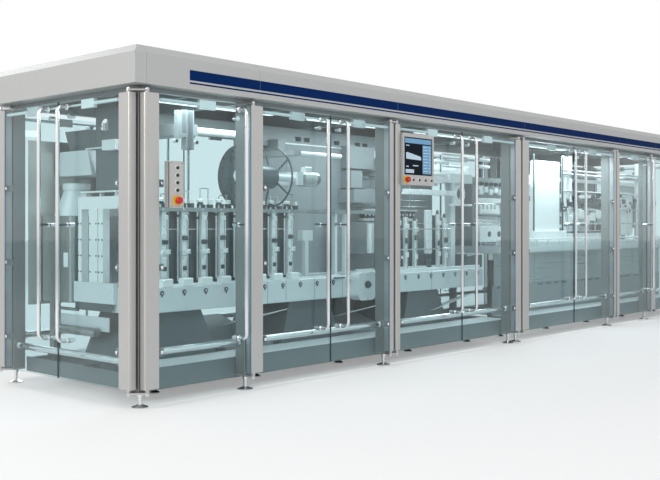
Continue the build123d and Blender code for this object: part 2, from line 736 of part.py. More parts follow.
# Head beam over the bars, its cross head and uprights at the near end, and its posts
HEAD_BEAM = (2900.0, 150.0, 30.0)
HEAD_START = BED_START + 60
HEAD_FRONT = BAR_FRONT - 20
HEAD_TOP = BAR_TOP + HEAD_BEAM[2]
CROSS_HEAD_BACK = 1187.0
CROSS_HEAD = (120.0, 92.0)
CROSS_HEAD_BOTTOM = 1339.0
END_UPRIGHTS = ((868.0, 58.0), (935.0, 109.0), (1140.0, 46.0))  # place and width
END_UPRIGHT_THICK = 60.0
HEAD_POSTS = ((2602.0, 31.0), (2742.0, 45.0), (3209.0, 28.0))
HEAD_POST_DEPTH = 40.0
SIDE_PLATE_SET = 100.0   # upright plate with a round window, on the cross head
SIDE_PLATE = (15.0, 400.0, 670.0)
SIDE_PLATE_FRONT = 700.0
SIDE_WINDOW_RADIUS = 62.0
SIDE_WINDOW = (990.0, 1961.0)
SENSOR_BOX = (60.0, 166.0, 77.0)
SENSOR_BOX_CORNER = (770.0, 1775.0)
SENSOR_ROD_RADIUS = 6.0
SENSOR_ROD = 250.0
with BuildPart() as head_beam:
    block(HEAD_START, HEAD_FRONT, BAR_TOP, *HEAD_BEAM)
    cross_front = HEAD_FRONT + HEAD_BEAM[1] + SEAT
    block(
        BED_START,
        cross_front,
        CROSS_HEAD_BOTTOM,
        CROSS_HEAD[0],
        CROSS_HEAD_BACK - cross_front,
        CROSS_HEAD[1],
    )
    for t, width in END_UPRIGHTS:
        block(
            BED_START,
            t,
            BED_TOP + SEAT,
            END_UPRIGHT_THICK,
            width,
            CROSS_HEAD_BOTTOM - BED_TOP - 2 * SEAT,
        )
    for s, width in HEAD_POSTS:
        block(s, HEAD_FRONT + BAR[1], BED_TOP, width, HEAD_POST_DEPTH, BAR_TOP - SEAT - BED_TOP)
    side_plate = BED_START + SIDE_PLATE_SET
    block(side_plate, SIDE_PLATE_FRONT, CROSS_HEAD_BOTTOM + CROSS_HEAD[1] + SEAT, *SIDE_PLATE)
    with Locations(Location((X0 + side_plate, Y0 + SIDE_WINDOW[0], SIDE_WINDOW[1]), (0, 90, 0))):
        Cylinder(
            SIDE_WINDOW_RADIUS,
            SIDE_PLATE[0],
            align=(Align.CENTER, Align.CENTER, Align.MIN),
            mode=Mode.SUBTRACT,
        )
    sensor = (side_plate - SENSOR_BOX[0] - SEAT, *SENSOR_BOX_CORNER)
    block(*sensor, *SENSOR_BOX)
    bar(
        sensor[0] + SENSOR_BOX[0] / 2,
        sensor[1] + SENSOR_BOX[1] + SEAT,
        sensor[2] + SENSOR_BOX[2] / 3,
        SENSOR_ROD_RADIUS,
        SENSOR_ROD,
        "Y",
    )
save(head_beam, "head_beam")

# Bulkhead behind the film reel, with pairs of slots
BULKHEAD_START = 1900.0
BULKHEAD_END = 4820.0
BULKHEAD_T = 1100.0
BULKHEAD_THICK = 40.0
BULKHEAD_TOP = HEADER_BOTTOM - SEAT
SLOT = (80.0, 42.0)
SLOT_GAP = 36.0
SLOT_HEIGHT = 2022.0
SLOT_FIRST = 2640.0
SLOT_PITCH = 430.0
SLOT_PAIRS = 5
STRIP_START = 844.0      # upper strip that runs on to the near end
STRIP_BOTTOM = 1985.0
# Place, height, length, depth and height of each box on the bulkhead
WALL_BOXES = (
    (2163.0, 1930.0, 63.0, 60.0, 86.0),
    (2262.0, 1880.0, 96.0, 150.0, 107.0),
    (3285.0, 1777.0, 415.0, 90.0, 219.0),
    (3290.0, 1585.0, 170.0, 130.0, 167.0),
    (3250.0, 1440.0, 360.0, 200.0, 126.0),
    (3048.0, 790.0, 142.0, 90.0, 442.0),
    (3400.0, 934.0, 155.0, 220.0, 316.0),
)
with BuildPart() as bulkhead:
    block(
        BULKHEAD_START,
        BULKHEAD_T,
        BED_TOP,
        BULKHEAD_END - BULKHEAD_START,
        BULKHEAD_THICK,
        BULKHEAD_TOP - BED_TOP,
    )
    slots = [
        (SLOT_FIRST + SLOT_PITCH * i + side, BULKHEAD_T, SLOT_HEIGHT - SLOT[1] / 2)
        for i in range(SLOT_PAIRS) for side in (0, SLOT[0] + SLOT_GAP)
    ]
    with Locations(*[(X0 + s, Y0 + t, z) for s, t, z in slots]):
        Box(
            SLOT[0],
            BULKHEAD_THICK,
            SLOT[1],
            align=(Align.MIN, Align.MIN, Align.MIN),
            mode=Mode.SUBTRACT,
        )
    block(
        STRIP_START,
        BULKHEAD_T,
        STRIP_BOTTOM,
        BULKHEAD_START - SEAT - STRIP_START,
        BULKHEAD_THICK,
        BULKHEAD_TOP - STRIP_BOTTOM,
    )
    for s, z, along, deep, high in WALL_BOXES:
        block(s, BULKHEAD_T - deep - SEAT, z, along, deep, high)
save(bulkhead, "bulkhead")

# Film reel: flanges on a mandrel that stands out from its gear motor
REEL = (1550.0, 500.0, 1610.0)
REEL_RADIUS = 245.0
REEL_WIDTH = 370.0
FLANGE = 8.0
HUB_RADIUS = 55.0
MANDREL_RADIUS = 30.0
MANDREL_PLAY = 0.5
FILM_RADIUS = 95.0
RIM = 14.0
SPOKES = 5
SPOKE = 16.0
MOTOR_RADIUS = 62.0
MOTOR_LENGTH = 210.0
REEL_START = REEL[0] - REEL_WIDTH / 2
REEL_END = REEL[0] + REEL_WIDTH / 2
reel_plane = Plane((X0 + REEL_START, Y0 + REEL[1], REEL[2]), x_dir=(0, 1, 0), z_dir=(1, 0, 0))

with BuildPart() as film_roll:
    with BuildSketch(reel_plane.offset(FLANGE)):
        Circle(FILM_RADIUS)
        Circle(MANDREL_RADIUS + MANDREL_PLAY, mode=Mode.SUBTRACT)
    extrude(amount=REEL_WIDTH - 2 * FLANGE)
save(film_roll, "film_roll")
with BuildPart() as reel_flanges:
    with BuildSketch(reel_plane):
        Circle(REEL_RADIUS)
        Circle(MANDREL_RADIUS + MANDREL_PLAY, mode=Mode.SUBTRACT)
    extrude(amount=FLANGE)
    with BuildSketch(reel_plane.offset(REEL_WIDTH - FLANGE)):
        Circle(REEL_RADIUS)
        Circle(REEL_RADIUS - RIM, mode=Mode.SUBTRACT)
        Circle(HUB_RADIUS)
        with PolarLocations((HUB_RADIUS + REEL_RADIUS - RIM) / 2, SPOKES):
            Rectangle(REEL_RADIUS - RIM / 2 - HUB_RADIUS + RIM, SPOKE)
        Circle(MANDREL_RADIUS + MANDREL_PLAY, mode=Mode.SUBTRACT)
    extrude(amount=FLANGE)
save(reel_flanges, "reel_flanges")
ARM_START = 1985.0
ARM_THICK = 70.0
ARM_WIDTH = 110.0
with BuildPart() as reel_arm:
    block(
        ARM_START,
        REEL[1] - ARM_WIDTH / 2,
        REEL[2] - ARM_WIDTH / 2,
        ARM_THICK,
        BULKHEAD_T - REEL[1] + ARM_WIDTH / 2 - SEAT,
        ARM_WIDTH,
    )
    bar(REEL_START - 20, REEL[1], REEL[2], MANDREL_RADIUS, ARM_START - REEL_START + 20 - SEAT)
save(reel_arm, "reel_arm")
with BuildPart() as reel_motor:
    bar(ARM_START + ARM_THICK, REEL[1], REEL[2], MOTOR_RADIUS, MOTOR_LENGTH)
save(reel_motor, "reel_motor")

# Web rollers on arms that stand out from the bulkhead
ROLLER_RADIUS = 22.0
ROLLER_ARM = (90.0, 45.0)
ROLLERS = (
    (2166.0, 620.0, 1838.0, 560.0),
    (3800.0, 620.0, 1870.0, 560.0),
    (3800.0, 620.0, 1740.0, 560.0),
)
TOP_ROLLER = (1007.0, 600.0, 1943.0)
TOP_ROLLER_RADIUS = 30.0
TOP_ROLLER_LENGTH = 640.0
TOP_ARM = (162.0, 1905.0, 1990.0)     # width, bottom and top
CHANNEL = (74.0, 60.0, 322.0)         # hangs before the top roller's arm
CHANNEL_BOTTOM = 1788.0
CHANNEL_WALL = 9.0
SIDE_BAR = (43.0, 40.0, 209.0)        # beside the channel, with a link between them
SIDE_BAR_BOTTOM = 1868.0
LINK_HEIGHT = 1880.0
LINK = 24.0
with BuildPart() as web_rollers:
    for s, t, z, length in ROLLERS:
        bar(s + SEAT, t, z, ROLLER_RADIUS, length)
        arm_front = t - ROLLER_ARM[0] / 2
        block(
            s - ROLLER_ARM[0],
            arm_front,
            z - ROLLER_ARM[1] / 2,
            ROLLER_ARM[0],
            BULKHEAD_T - arm_front - SEAT,
            ROLLER_ARM[1],
        )
    bar(TOP_ROLLER[0] + SEAT, *TOP_ROLLER[1:], TOP_ROLLER_RADIUS, TOP_ROLLER_LENGTH)
    top_arm_start = TOP_ROLLER[0] - TOP_ARM[0]
    top_arm_front = TOP_ROLLER[1] - TOP_ROLLER_RADIUS
    block(
        top_arm_start,
        top_arm_front,
        TOP_ARM[1],
        TOP_ARM[0],
        BULKHEAD_T - top_arm_front - SEAT,
        TOP_ARM[2] - TOP_ARM[1],
    )
    channel_front = top_arm_front - CHANNEL[1] - SEAT
    block(top_arm_start, channel_front, CHANNEL_BOTTOM, *CHANNEL)
    with Locations(
        (X0 + top_arm_start + CHANNEL_WALL, Y0 + channel_front, CHANNEL_BOTTOM),
    ):
        Box(
            CHANNEL[0] - 2 * CHANNEL_WALL,
            CHANNEL[1] - CHANNEL_WALL,
            CHANNEL[2],
            align=(Align.MIN, Align.MIN, Align.MIN),
            mode=Mode.SUBTRACT,
        )
    side_start = top_arm_start - 2 * SIDE_BAR[0]
    block(side_start, channel_front, SIDE_BAR_BOTTOM, *SIDE_BAR)
    link_start = side_start + SIDE_BAR[0] + SEAT
    block(link_start, channel_front, LINK_HEIGHT, top_arm_start - SEAT - link_start, LINK, LINK)
save(web_rollers, "web_rollers")

# Cabinets behind the bulkhead, and the brushed cabinet at the near end
REAR_CABINETS = ((1950.0, 1350.0), (3400.0, 1380.0))  # place and length
REAR_DEPTH = 400.0
REAR_HEIGHT = 1850.0
with BuildPart() as rear_cabinets:
    for start, length in REAR_CABINETS:
        block(start, BED_BACK + SEAT, BASE_TOP, length, REAR_DEPTH, REAR_HEIGHT)
save(rear_cabinets, "rear_cabinets")
CABINET = (300.0, 1210.0, 630.0)
CABINET_SIZE = (640.0, 400.0, 660.0)
CABINET_ROUND = 20.0
CABINET_TOP = CABINET[2] + CABINET_SIZE[2]
with BuildPart() as infeed_cabinet:
    block(*CABINET, *CABINET_SIZE)
    fillet(infeed_cabinet.edges().filter_by(Axis.Z), radius=CABINET_ROUND)
save(infeed_cabinet, "infeed_cabinet")

# Product hopper over the cabinet: cone, cup, box with a slanted front and its mouth
CONE_CENTRE = (480.0, 1400.0)
CONE_RADII = (170.0, 95.0)
CUP_RADIUS = 106.0
CUP = 49.0
CUP_TOP = 1542.0
HOPPER_START = 420.0
HOPPER_LENGTH = 440.0
HOPPER_FRONT = 1106.0
HOPPER_BACK = 1586.0
HOPPER_SLANT = 60.0
HOPPER_BOTTOM = 1602.0
HOPPER_TOP = 1793.0
MOUTH_CENTRE = (640.0, 1368.0)
MOUTH_LOW = 290.0
MOUTH_HIGH = 349.0
MOUTH_TOP = 1956.0
POST = 50.0
POST_PLACE = 800.0
with BuildPart() as hopper:
    cone_height = CUP_TOP - CUP - CABINET_TOP
    with Locations((X0 + CONE_CENTRE[0], Y0 + CONE_CENTRE[1], CABINET_TOP + SEAT)):
        Cone(*CONE_RADII, cone_height - 2 * SEAT, align=(Align.CENTER, Align.CENTER, Align.MIN))
    bar(*CONE_CENTRE, CUP_TOP - CUP, CUP_RADIUS, CUP, "Z")
    with BuildSketch(Plane((X0 + HOPPER_START, Y0, 0), x_dir=(0, 1, 0), z_dir=(1, 0, 0))):
        with BuildLine():
            Polyline(
                (HOPPER_FRONT, HOPPER_BOTTOM),
                (HOPPER_BACK, HOPPER_BOTTOM),
                (HOPPER_BACK, HOPPER_TOP),
                (HOPPER_FRONT + HOPPER_SLANT, HOPPER_TOP),
                close=True,
            )
        make_face()
    extrude(amount=HOPPER_LENGTH)
    for height, side in ((HOPPER_TOP + SEAT, MOUTH_LOW), (MOUTH_TOP, MOUTH_HIGH)):
        with BuildSketch(Plane.XY.offset(height)):
            with Locations((X0 + MOUTH_CENTRE[0], Y0 + MOUTH_CENTRE[1])):
                Rectangle(side, side)
    loft()
    post_height = HOPPER_BOTTOM - CABINET_TOP - 2 * SEAT
    for t in (CABINET[1] + CABINET_ROUND, HOPPER_BACK - POST):
        block(POST_PLACE, t, CABINET_TOP + SEAT, POST, POST, post_height)
save(hopper, "hopper")

# Sloped drip trays on the base frame, between the pedestals
TRAY_FRONT = 600.0
TRAY_BACK = 1180.0
TRAY_LOW = 50.0
TRAY_HIGH = 240.0
TRAY_SPAN = 520.0
with BuildPart() as drip_trays:
    for first, last in zip(PEDESTALS, PEDESTALS[1:]):
        start = (first + last) / 2 - TRAY_SPAN / 2
        with BuildSketch(Plane((X0 + start, Y0, BASE_TOP), x_dir=(0, 1, 0), z_dir=(1, 0, 0))):
            with BuildLine():
                Polyline(
                    (BASE_LINES[0], 0),
                    (TRAY_BACK, 0),
                    (TRAY_BACK, TRAY_HIGH),
                    (TRAY_FRONT, TRAY_LOW),
                    (BASE_LINES[0], TRAY_LOW),
                    close=True,
                )
            make_face()
        extrude(amount=TRAY_SPAN)
save(drip_trays, "drip_trays")

# Transfer head at the end of the bed: tube, ring plate under a box, and its post
TUBE = (3900.0, 640.0, 1550.0)
TUBE_RADIUS = 24.0
RING_START = 4540.0
RING_PLATE = (200.0, 24.0, 220.0)
RING_HOLE = 62.0
TRANSFER_BOX = (4420.0, 590.0, 1660.0)
TRANSFER_BOX_SIZE = (420.0, 200.0, 95.0)
TRANSFER_POST = (4600.0, 700.0)
TRANSFER_POST_SIDE = 80.0
with BuildPart() as transfer_head:
    bar(*TUBE, TUBE_RADIUS, RING_START - SEAT - TUBE[0])
    ring_front = TUBE[1] - RING_PLATE[1] / 2
    ring_bottom = TRANSFER_BOX[2] - SEAT - RING_PLATE[2]
    block(RING_START, ring_front, ring_bottom, *RING_PLATE)
    ring_centre = (X0 + RING_START + RING_PLATE[0] / 2, Y0 + ring_front, ring_bottom + RING_PLATE[2] / 2)
    with Locations(Location(ring_centre, (-90, 0, 0))):
        Cylinder(
            RING_HOLE,
            RING_PLATE[1],
            align=(Align.CENTER, Align.CENTER, Align.MIN),
            mode=Mode.SUBTRACT,
        )
    block(*TRANSFER_BOX, *TRANSFER_BOX_SIZE)
    post_height = TRANSFER_BOX[2] - SEAT - BED_TOP
    block(*TRANSFER_POST, BED_TOP, TRANSFER_POST_SIDE, TRANSFER_POST_SIDE, post_height)
save(transfer_head, "transfer_head")

# Outfeed module: conveyor table on legs, towers and chute
TABLE_FRONT = 420.0
TABLE_BACK = 1150.0
TABLE_BOTTOM = 910.0
TABLE_TOP = 990.0
with BuildPart() as outfeed_table:
    block(
        OUT_START,
        TABLE_FRONT,
        TABLE_BOTTOM,
        OUT_END - OUT_START,
        TABLE_BACK - TABLE_FRONT,
        TABLE_TOP - TABLE_BOTTOM,
    )
save(outfeed_table, "outfeed_table")
LEG = 60.0
LEG_FRONT = 540.0
LEG_BACK = 1040.0
CABINET_LEGS = (340.0, 860.0)
CABINET_LEG_FRONT = 1500.0
CROSS_TUBES = ((963.0, 416.0, 34.0), (1215.0, 575.0, 12.5))  # start, height and radius
with BuildPart() as support_legs:
    places = spread(OUT_START + 100, OUT_END - 100, CROSS_COUNT)
    corners = [(s - LEG / 2, t, BASE_TOP) for s in places for t in (LEG_FRONT, LEG_BACK)]
    blocks(corners, LEG, LEG, TABLE_BOTTOM - BASE_TOP)
    corners = [(s, CABINET_LEG_FRONT, BASE_TOP) for s in CABINET_LEGS]
    blocks(corners, LEG, LEG, CABINET[2] - BASE_TOP)
    for t, height, radius in CROSS_TUBES:
        bar(CABINET_LEGS[0] + LEG / 2, t, height, radius, CABINET_LEG_FRONT - SEAT - t, "Y")
save(support_legs, "support_legs")

TOWERS = ((5100.0, 620.0, 760.0), (7250.0, 700.0, 700.0), (8500.0, 480.0, 680.0))
TOWER_FRONT = 760.0
TOWER_DEPTH = 330.0
HOUSING_CENTRE = (8780.0, 1370.0)
HOUSING = (380.0, 580.0)
HOUSING_ROUND = 60.0
HOUSING_DEPTH = 110.0
with BuildPart() as outfeed_towers:
    for s, width, high in TOWERS:
        block(s, TOWER_FRONT, TABLE_TOP, width, TOWER_DEPTH, high)
    with BuildSketch(Plane.XZ.offset(-(Y0 + TOWER_FRONT - SEAT))):
        with Locations((X0 + HOUSING_CENTRE[0], HOUSING_CENTRE[1])):
            RectangleRounded(*HOUSING, radius=HOUSING_ROUND)
    extrude(amount=HOUSING_DEPTH)
save(outfeed_towers, "outfeed_towers")

# Slanted chute on the table, and the funnel under it
CHUTE_START = 6150.0
CHUTE_END = 6850.0
CHUTE_SLANT = 110.0
CHUTE_FRONT = 640.0
CHUTE_DEPTH = 60.0
CHUTE_TOP = 1990.0
FUNNEL_CENTRE = (8780.0, 780.0)
FUNNEL_MOUTH = 300.0
FUNNEL_OUTLET = 120.0
FUNNEL_BOTTOM = 560.0
with BuildPart() as outfeed_chute:
    with BuildSketch(Plane.XZ.offset(-(Y0 + CHUTE_FRONT))):
        with BuildLine():
            Polyline(
                (X0 + CHUTE_START, TABLE_TOP),
                (X0 + CHUTE_END, TABLE_TOP),
                (X0 + CHUTE_END, CHUTE_TOP),
                (X0 + CHUTE_START + CHUTE_SLANT, CHUTE_TOP),
                close=True,
            )
        make_face()
    extrude(amount=-CHUTE_DEPTH)
    for height, side in ((FUNNEL_BOTTOM, FUNNEL_OUTLET), (TABLE_BOTTOM - SEAT, FUNNEL_MOUTH)):
        with BuildSketch(Plane.XY.offset(height)):
            with Locations((X0 + FUNNEL_CENTRE[0], Y0 + FUNNEL_CENTRE[1])):
                Rectangle(side, side)
    loft()
save(outfeed_chute, "outfeed_chute")
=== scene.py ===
import json
import math

import bmesh
import bpy
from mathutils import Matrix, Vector

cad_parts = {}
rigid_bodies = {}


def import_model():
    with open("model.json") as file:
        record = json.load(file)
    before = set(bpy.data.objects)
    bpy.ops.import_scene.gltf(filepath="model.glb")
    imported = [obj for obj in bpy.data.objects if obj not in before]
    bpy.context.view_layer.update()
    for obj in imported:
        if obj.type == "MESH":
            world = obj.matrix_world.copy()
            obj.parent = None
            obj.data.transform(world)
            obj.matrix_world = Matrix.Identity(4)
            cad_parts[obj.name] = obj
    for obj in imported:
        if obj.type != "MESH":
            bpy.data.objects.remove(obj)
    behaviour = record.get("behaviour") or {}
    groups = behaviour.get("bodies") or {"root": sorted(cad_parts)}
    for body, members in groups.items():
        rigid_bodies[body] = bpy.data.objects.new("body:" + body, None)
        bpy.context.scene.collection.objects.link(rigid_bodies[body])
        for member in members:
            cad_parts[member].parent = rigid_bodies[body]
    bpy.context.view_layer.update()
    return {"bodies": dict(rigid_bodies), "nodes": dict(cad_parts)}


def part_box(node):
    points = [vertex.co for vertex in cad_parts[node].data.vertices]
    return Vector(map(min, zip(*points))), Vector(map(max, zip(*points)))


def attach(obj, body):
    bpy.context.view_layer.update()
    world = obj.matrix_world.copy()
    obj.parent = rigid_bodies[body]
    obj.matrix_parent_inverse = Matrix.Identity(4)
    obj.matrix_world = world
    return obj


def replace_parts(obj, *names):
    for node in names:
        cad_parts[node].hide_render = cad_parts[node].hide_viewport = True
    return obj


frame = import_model()
nodes = frame["nodes"]

# Guard size in metres; s and t run from its near corner, as in the solids
LENGTH = 9.911
DEPTH = 1.830
MM = 0.001


def place(s, t, z):
    return Vector((s - LENGTH / 2, t - DEPTH / 2, z))


# Materials: colour, roughness and bump from stretched noises
def new_material(name):
    mat = bpy.data.materials.new(name)
    mat.use_nodes = True
    tree = mat.node_tree
    return mat, tree, tree.nodes["Principled BSDF"]


def noise(tree, scale, stretch, detail=3.0):
    coords = tree.nodes.new("ShaderNodeTexCoord")
    mapping = tree.nodes.new("ShaderNodeMapping")
    mapping.inputs["Scale"].default_value = stretch
    tex = tree.nodes.new("ShaderNodeTexNoise")
    tex.inputs["Scale"].default_value = scale
    tex.inputs["Detail"].default_value = detail
    tree.links.new(coords.outputs["Object"], mapping.inputs["Vector"])
    tree.links.new(mapping.outputs["Vector"], tex.inputs["Vector"])
    return tex.outputs["Fac"]


def ramp(tree, fac, low, high, start=0.3, end=0.7):
    node = tree.nodes.new("ShaderNodeMapRange")
    node.inputs["From Min"].default_value = start
    node.inputs["From Max"].default_value = end
    node.inputs["To Min"].default_value = low
    node.inputs["To Max"].default_value = high
    tree.links.new(fac, node.inputs["Value"])
    return node.outputs["Result"]


def tint(tree, fac, dark, light):
    node = tree.nodes.new("ShaderNodeMix")
    node.data_type = "RGBA"
    node.inputs["A"].default_value = (*dark, 1)
    node.inputs["B"].default_value = (*light, 1)
    tree.links.new(fac, node.inputs["Factor"])
    return node.outputs["Result"]


CLOUD_SCALE = 1.7
CLOUD_STRETCH = (1, 1, 0.6)
CLOUD_DETAIL = 2.0


def surface(name, color, metal, rough, grain, scale, vary, bump):
    """A satin, painted or polished surface: a broad cloud tints it, a fine grain roughens it."""
    mat, tree, shader = new_material(name)
    fine = noise(tree, scale, grain)
    broad = noise(tree, CLOUD_SCALE, CLOUD_STRETCH, CLOUD_DETAIL)
    dark = tuple(c * (1 - vary) for c in color)
    light = tuple(min(1.0, c * (1 + vary)) for c in color)
    tree.links.new(tint(tree, broad, dark, light), shader.inputs["Base Color"])
    tree.links.new(ramp(tree, fine, rough * 0.86, rough * 1.14), shader.inputs["Roughness"])
    shader.inputs["Metallic"].default_value = metal
    if bump:
        node = tree.nodes.new("ShaderNodeBump")
        node.inputs["Strength"].default_value = bump
        node.inputs["Distance"].default_value = 0.002
        tree.links.new(fine, node.inputs["Height"])
        tree.links.new(node.outputs["Normal"], shader.inputs["Normal"])
    return mat


def glass(name, through, least=0.035, most=0.75):
    """Clear tinted sheet, which mirrors more at a shallow angle from either side."""
    mat = bpy.data.materials.new(name)
    mat.use_nodes = True
    tree = mat.node_tree
    tree.nodes.clear()
    out = tree.nodes.new("ShaderNodeOutputMaterial")
    mix = tree.nodes.new("ShaderNodeMixShader")
    clear = tree.nodes.new("ShaderNodeBsdfTransparent")
    clear.inputs["Color"].default_value = (*through, 1)
    gloss = tree.nodes.new("ShaderNodeBsdfGlossy")
    gloss.inputs["Roughness"].default_value = 0.03
    facing = tree.nodes.new("ShaderNodeLayerWeight")
    power = tree.nodes.new("ShaderNodeMath")
    power.operation = "POWER"
    power.inputs[1].default_value = 4.0
    tree.links.new(facing.outputs["Facing"], power.inputs[0])
    share = ramp(tree, power.outputs[0], least, most, 0.0, 1.0)
    tree.links.new(share, mix.inputs[0])
    tree.links.new(clear.outputs[0], mix.inputs[1])
    tree.links.new(gloss.outputs[0], mix.inputs[2])
    tree.links.new(mix.outputs[0], out.inputs["Surface"])
    return mat


UPRIGHT = (1, 1, 0.02)
ALONG = (0.02, 1, 1)
EVEN = (1, 1, 1)

# Name, colour, metallic, roughness, grain, grain scale, colour variation and bump
MATS = {
    "stile": surface("stile_steel", (0.50, 0.495, 0.485), 0.7, 0.34, UPRIGHT, 220, 0.03, 0.015),
    "hood": surface("hood_steel", (0.455, 0.46, 0.455), 0.3, 0.40, ALONG, 200, 0.02, 0.008),
    "polish": surface("polished_steel", (0.78, 0.79, 0.80), 1.0, 0.12, EVEN, 120, 0.03, 0.0),
    "bright": surface("bright_steel", (0.86, 0.90, 0.90), 0.35, 0.24, ALONG, 120, 0.03, 0.0),
    "brushed": surface("brushed_steel", (0.40, 0.42, 0.42), 0.85, 0.30, UPRIGHT, 160, 0.10, 0.02),
    "header": surface("header_steel", (0.30, 0.33, 0.335), 0.5, 0.42, ALONG, 160, 0.06, 0.01),
    "plate": surface("machine_plate", (0.74, 0.785, 0.80), 0.15, 0.38, ALONG, 60, 0.07, 0.01),
    "wall": surface("wall_plate", (0.31, 0.345, 0.355), 0.1, 0.42, UPRIGHT, 50, 0.12, 0.01),
    "bright_plate": surface(
        "bright_plate", (0.90, 0.925, 0.925), 0.05, 0.33, UPRIGHT, 60, 0.05, 0.01
    ),
    "dark": surface("dark_plate", (0.085, 0.115, 0.125), 0.3, 0.40, UPRIGHT, 60, 0.12, 0.02),
    # Base paint: dark, and made darker as painted shade under the machine
    "base": surface("base_paint", (0.15, 0.185, 0.195), 0.1, 0.42, ALONG, 60, 0.08, 0.01),
    "lamp": surface("lamp_cover", (0.90, 0.92, 0.93), 0.0, 0.30, ALONG, 60, 0.02, 0.0),
    "paint": surface("machine_paint", (0.115, 0.145, 0.155), 0.2, 0.45, EVEN, 90, 0.10, 0.02),
    "panel": surface("panel_paint", (0.50, 0.49, 0.48), 0.25, 0.40, EVEN, 400, 0.02, 0.02),
    "black": surface("button_black", (0.02, 0.02, 0.022), 0.0, 0.32, EVEN, 300, 0.10, 0.0),
    "seal": surface("seal_rubber", (0.012, 0.018, 0.02), 0.0, 0.6, EVEN, 300, 0.10, 0.0),
    "blue": surface("blue_band", (0.0016, 0.020, 0.100), 0.0, 0.60, ALONG, 80, 0.03, 0.0),
    "column": surface("column_steel", (0.27, 0.285, 0.285), 0.5, 0.40, UPRIGHT, 160, 0.04, 0.0),
    "skirt": surface("skirt_plate", (0.44, 0.475, 0.48), 0.3, 0.30, ALONG, 60, 0.05, 0.0),
    "duct": surface("duct_steel", (0.66, 0.65, 0.63), 0.9, 0.34, UPRIGHT, 160, 0.08, 0.01),
    "jaw": surface("jaw_steel", (0.15, 0.185, 0.195), 0.3, 0.38, UPRIGHT, 60, 0.15, 0.02),
    "film": surface("film_roll", (0.13, 0.165, 0.175), 0.3, 0.25, (1, 40, 40), 6, 0.10, 0.03),
    "reel": surface("reel_disc", (0.20, 0.24, 0.25), 0.7, 0.30, EVEN, 40, 0.10, 0.01),
    "yellow": surface("stop_yellow", (0.80, 0.52, 0.02), 0.0, 0.35, EVEN, 200, 0.05, 0.0),
    "red": surface("stop_red", (0.55, 0.012, 0.014), 0.0, 0.28, EVEN, 200, 0.05, 0.0),
    # Glass edge strips: a painted blue glow and a dark painted-shade copy of it
    "edge": surface("glass_edge", (0.16, 0.27, 0.42), 0.0, 0.2, UPRIGHT, 40, 0.10, 0.0),
    "edge_dark": surface("glass_edge_dark", (0.02, 0.055, 0.06), 0.0, 0.2, UPRIGHT, 40, 0.15, 0.0),
    "screen": surface("screen_dark", (0.006, 0.010, 0.018), 0.0, 0.35, EVEN, 30, 0.25, 0.0),
    "screen_blue": surface("screen_blue", (0.16, 0.38, 0.60), 0.0, 0.35, ALONG, 20, 0.25, 0.0),
    "screen_light": surface("screen_light", (0.55, 0.68, 0.80), 0.0, 0.35, EVEN, 30, 0.10, 0.0),
    "glass": glass("guard_glass", (0.885, 0.957, 0.966)),
}


def set_input(key, name, value):
    MATS[key].node_tree.nodes["Principled BSDF"].inputs[name].default_value = value


set_input("blue", "Specular IOR Level", 0.04)
set_input("screen", "Specular IOR Level", 0.04)
set_input("lamp", "Emission Color", (0.95, 0.98, 1, 1))
set_input("lamp", "Emission Strength", 1.0)

NODE_MATS = {
    "levelling_feet": "polish", "guard_columns": "column", "pivot_plates": "stile",
    "lower_rails": "polish", "header_frame": "header", "roof_ribs": "header",
    "roof_sheets": "hood", "hood_front": "hood", "hood_back": "hood", "hood_ends": "hood",
    "hood_stripe": "blue", "machine_bed": "plate", "pack_carriers": "bright_plate",
    "seal_bars": "bright_plate", "jaw_plates": "jaw", "head_beam": "bright_plate",
    "reel_flanges": "reel", "film_roll": "film", "reel_motor": "brushed", "reel_arm": "plate",
    "web_rollers": "bright_plate", "infeed_cabinet": "brushed", "hopper": "plate",
    "drip_trays": "wall", "transfer_head": "bright_plate", "outfeed_table": "plate",
    "outfeed_towers": "wall", "outfeed_chute": "bright_plate", "button_box": "panel",
    "control_panel": "panel", "button_box_buttons": "black", "control_panel_buttons": "black",
    # The base frame's and the bed pedestals' dark paints are partly painted shade under the machine
    "bulkhead": "wall", "rear_cabinets": "wall", "base_frame": "base", "bed_pedestals": "paint",
    "support_legs": "brushed",
}


def node_key(name):
    if name.endswith("_glass"):
        return "glass"
    if name == "fixed_door_frames" or name.endswith("_frame") and "door" in name:
        return "stile"
    return NODE_MATS.get(name, "paint")


for name, obj in nodes.items():
    obj.data.materials.clear()
    obj.data.materials.append(MATS[node_key(name)])


POINTS_PER_METRE = 20000      # vertices nearer than this grid count as one


class Loose:
    """One loose solid of a node, with its faces, points and box."""

    def __init__(self, faces, points):
        self.faces = faces
        self.points = points
        self.low = Vector([min(p[i] for p in points) for i in range(3)])
        self.high = Vector([max(p[i] for p in points) for i in range(3)])
        self.size = self.high - self.low
        self.centre = (self.low + self.high) / 2


def loose_parts(obj):
    mesh = obj.data
    keys = {}
    point_of = []
    for vert in mesh.vertices:
        key = tuple(round(c * POINTS_PER_METRE) for c in vert.co)
        point_of.append(keys.setdefault(key, len(keys)))
    root = list(range(len(keys)))

    def find(a):
        while root[a] != a:
            root[a] = root[root[a]]
            a = root[a]
        return a

    for face in mesh.polygons:
        first = find(point_of[face.vertices[0]])
        for index in face.vertices[1:]:
            root[find(point_of[index])] = first
    groups = {}
    for face in mesh.polygons:
        groups.setdefault(find(point_of[face.vertices[0]]), []).append(face)
    parts = []
    for faces in groups.values():
        points = [mesh.vertices[i].co for face in faces for i in face.vertices]
        parts.append(Loose(faces, points))
    return parts


def recolor_faces(obj, faces, key):
    """Give some faces of a node another finish."""
    obj.data.materials.append(MATS[key])
    for face in faces:
        face.material_index = len(obj.data.materials) - 1


def recolor(obj, parts, key):
    """Give some loose solids of a node another finish."""
    recolor_faces(obj, [face for part in parts for face in part.faces], key)


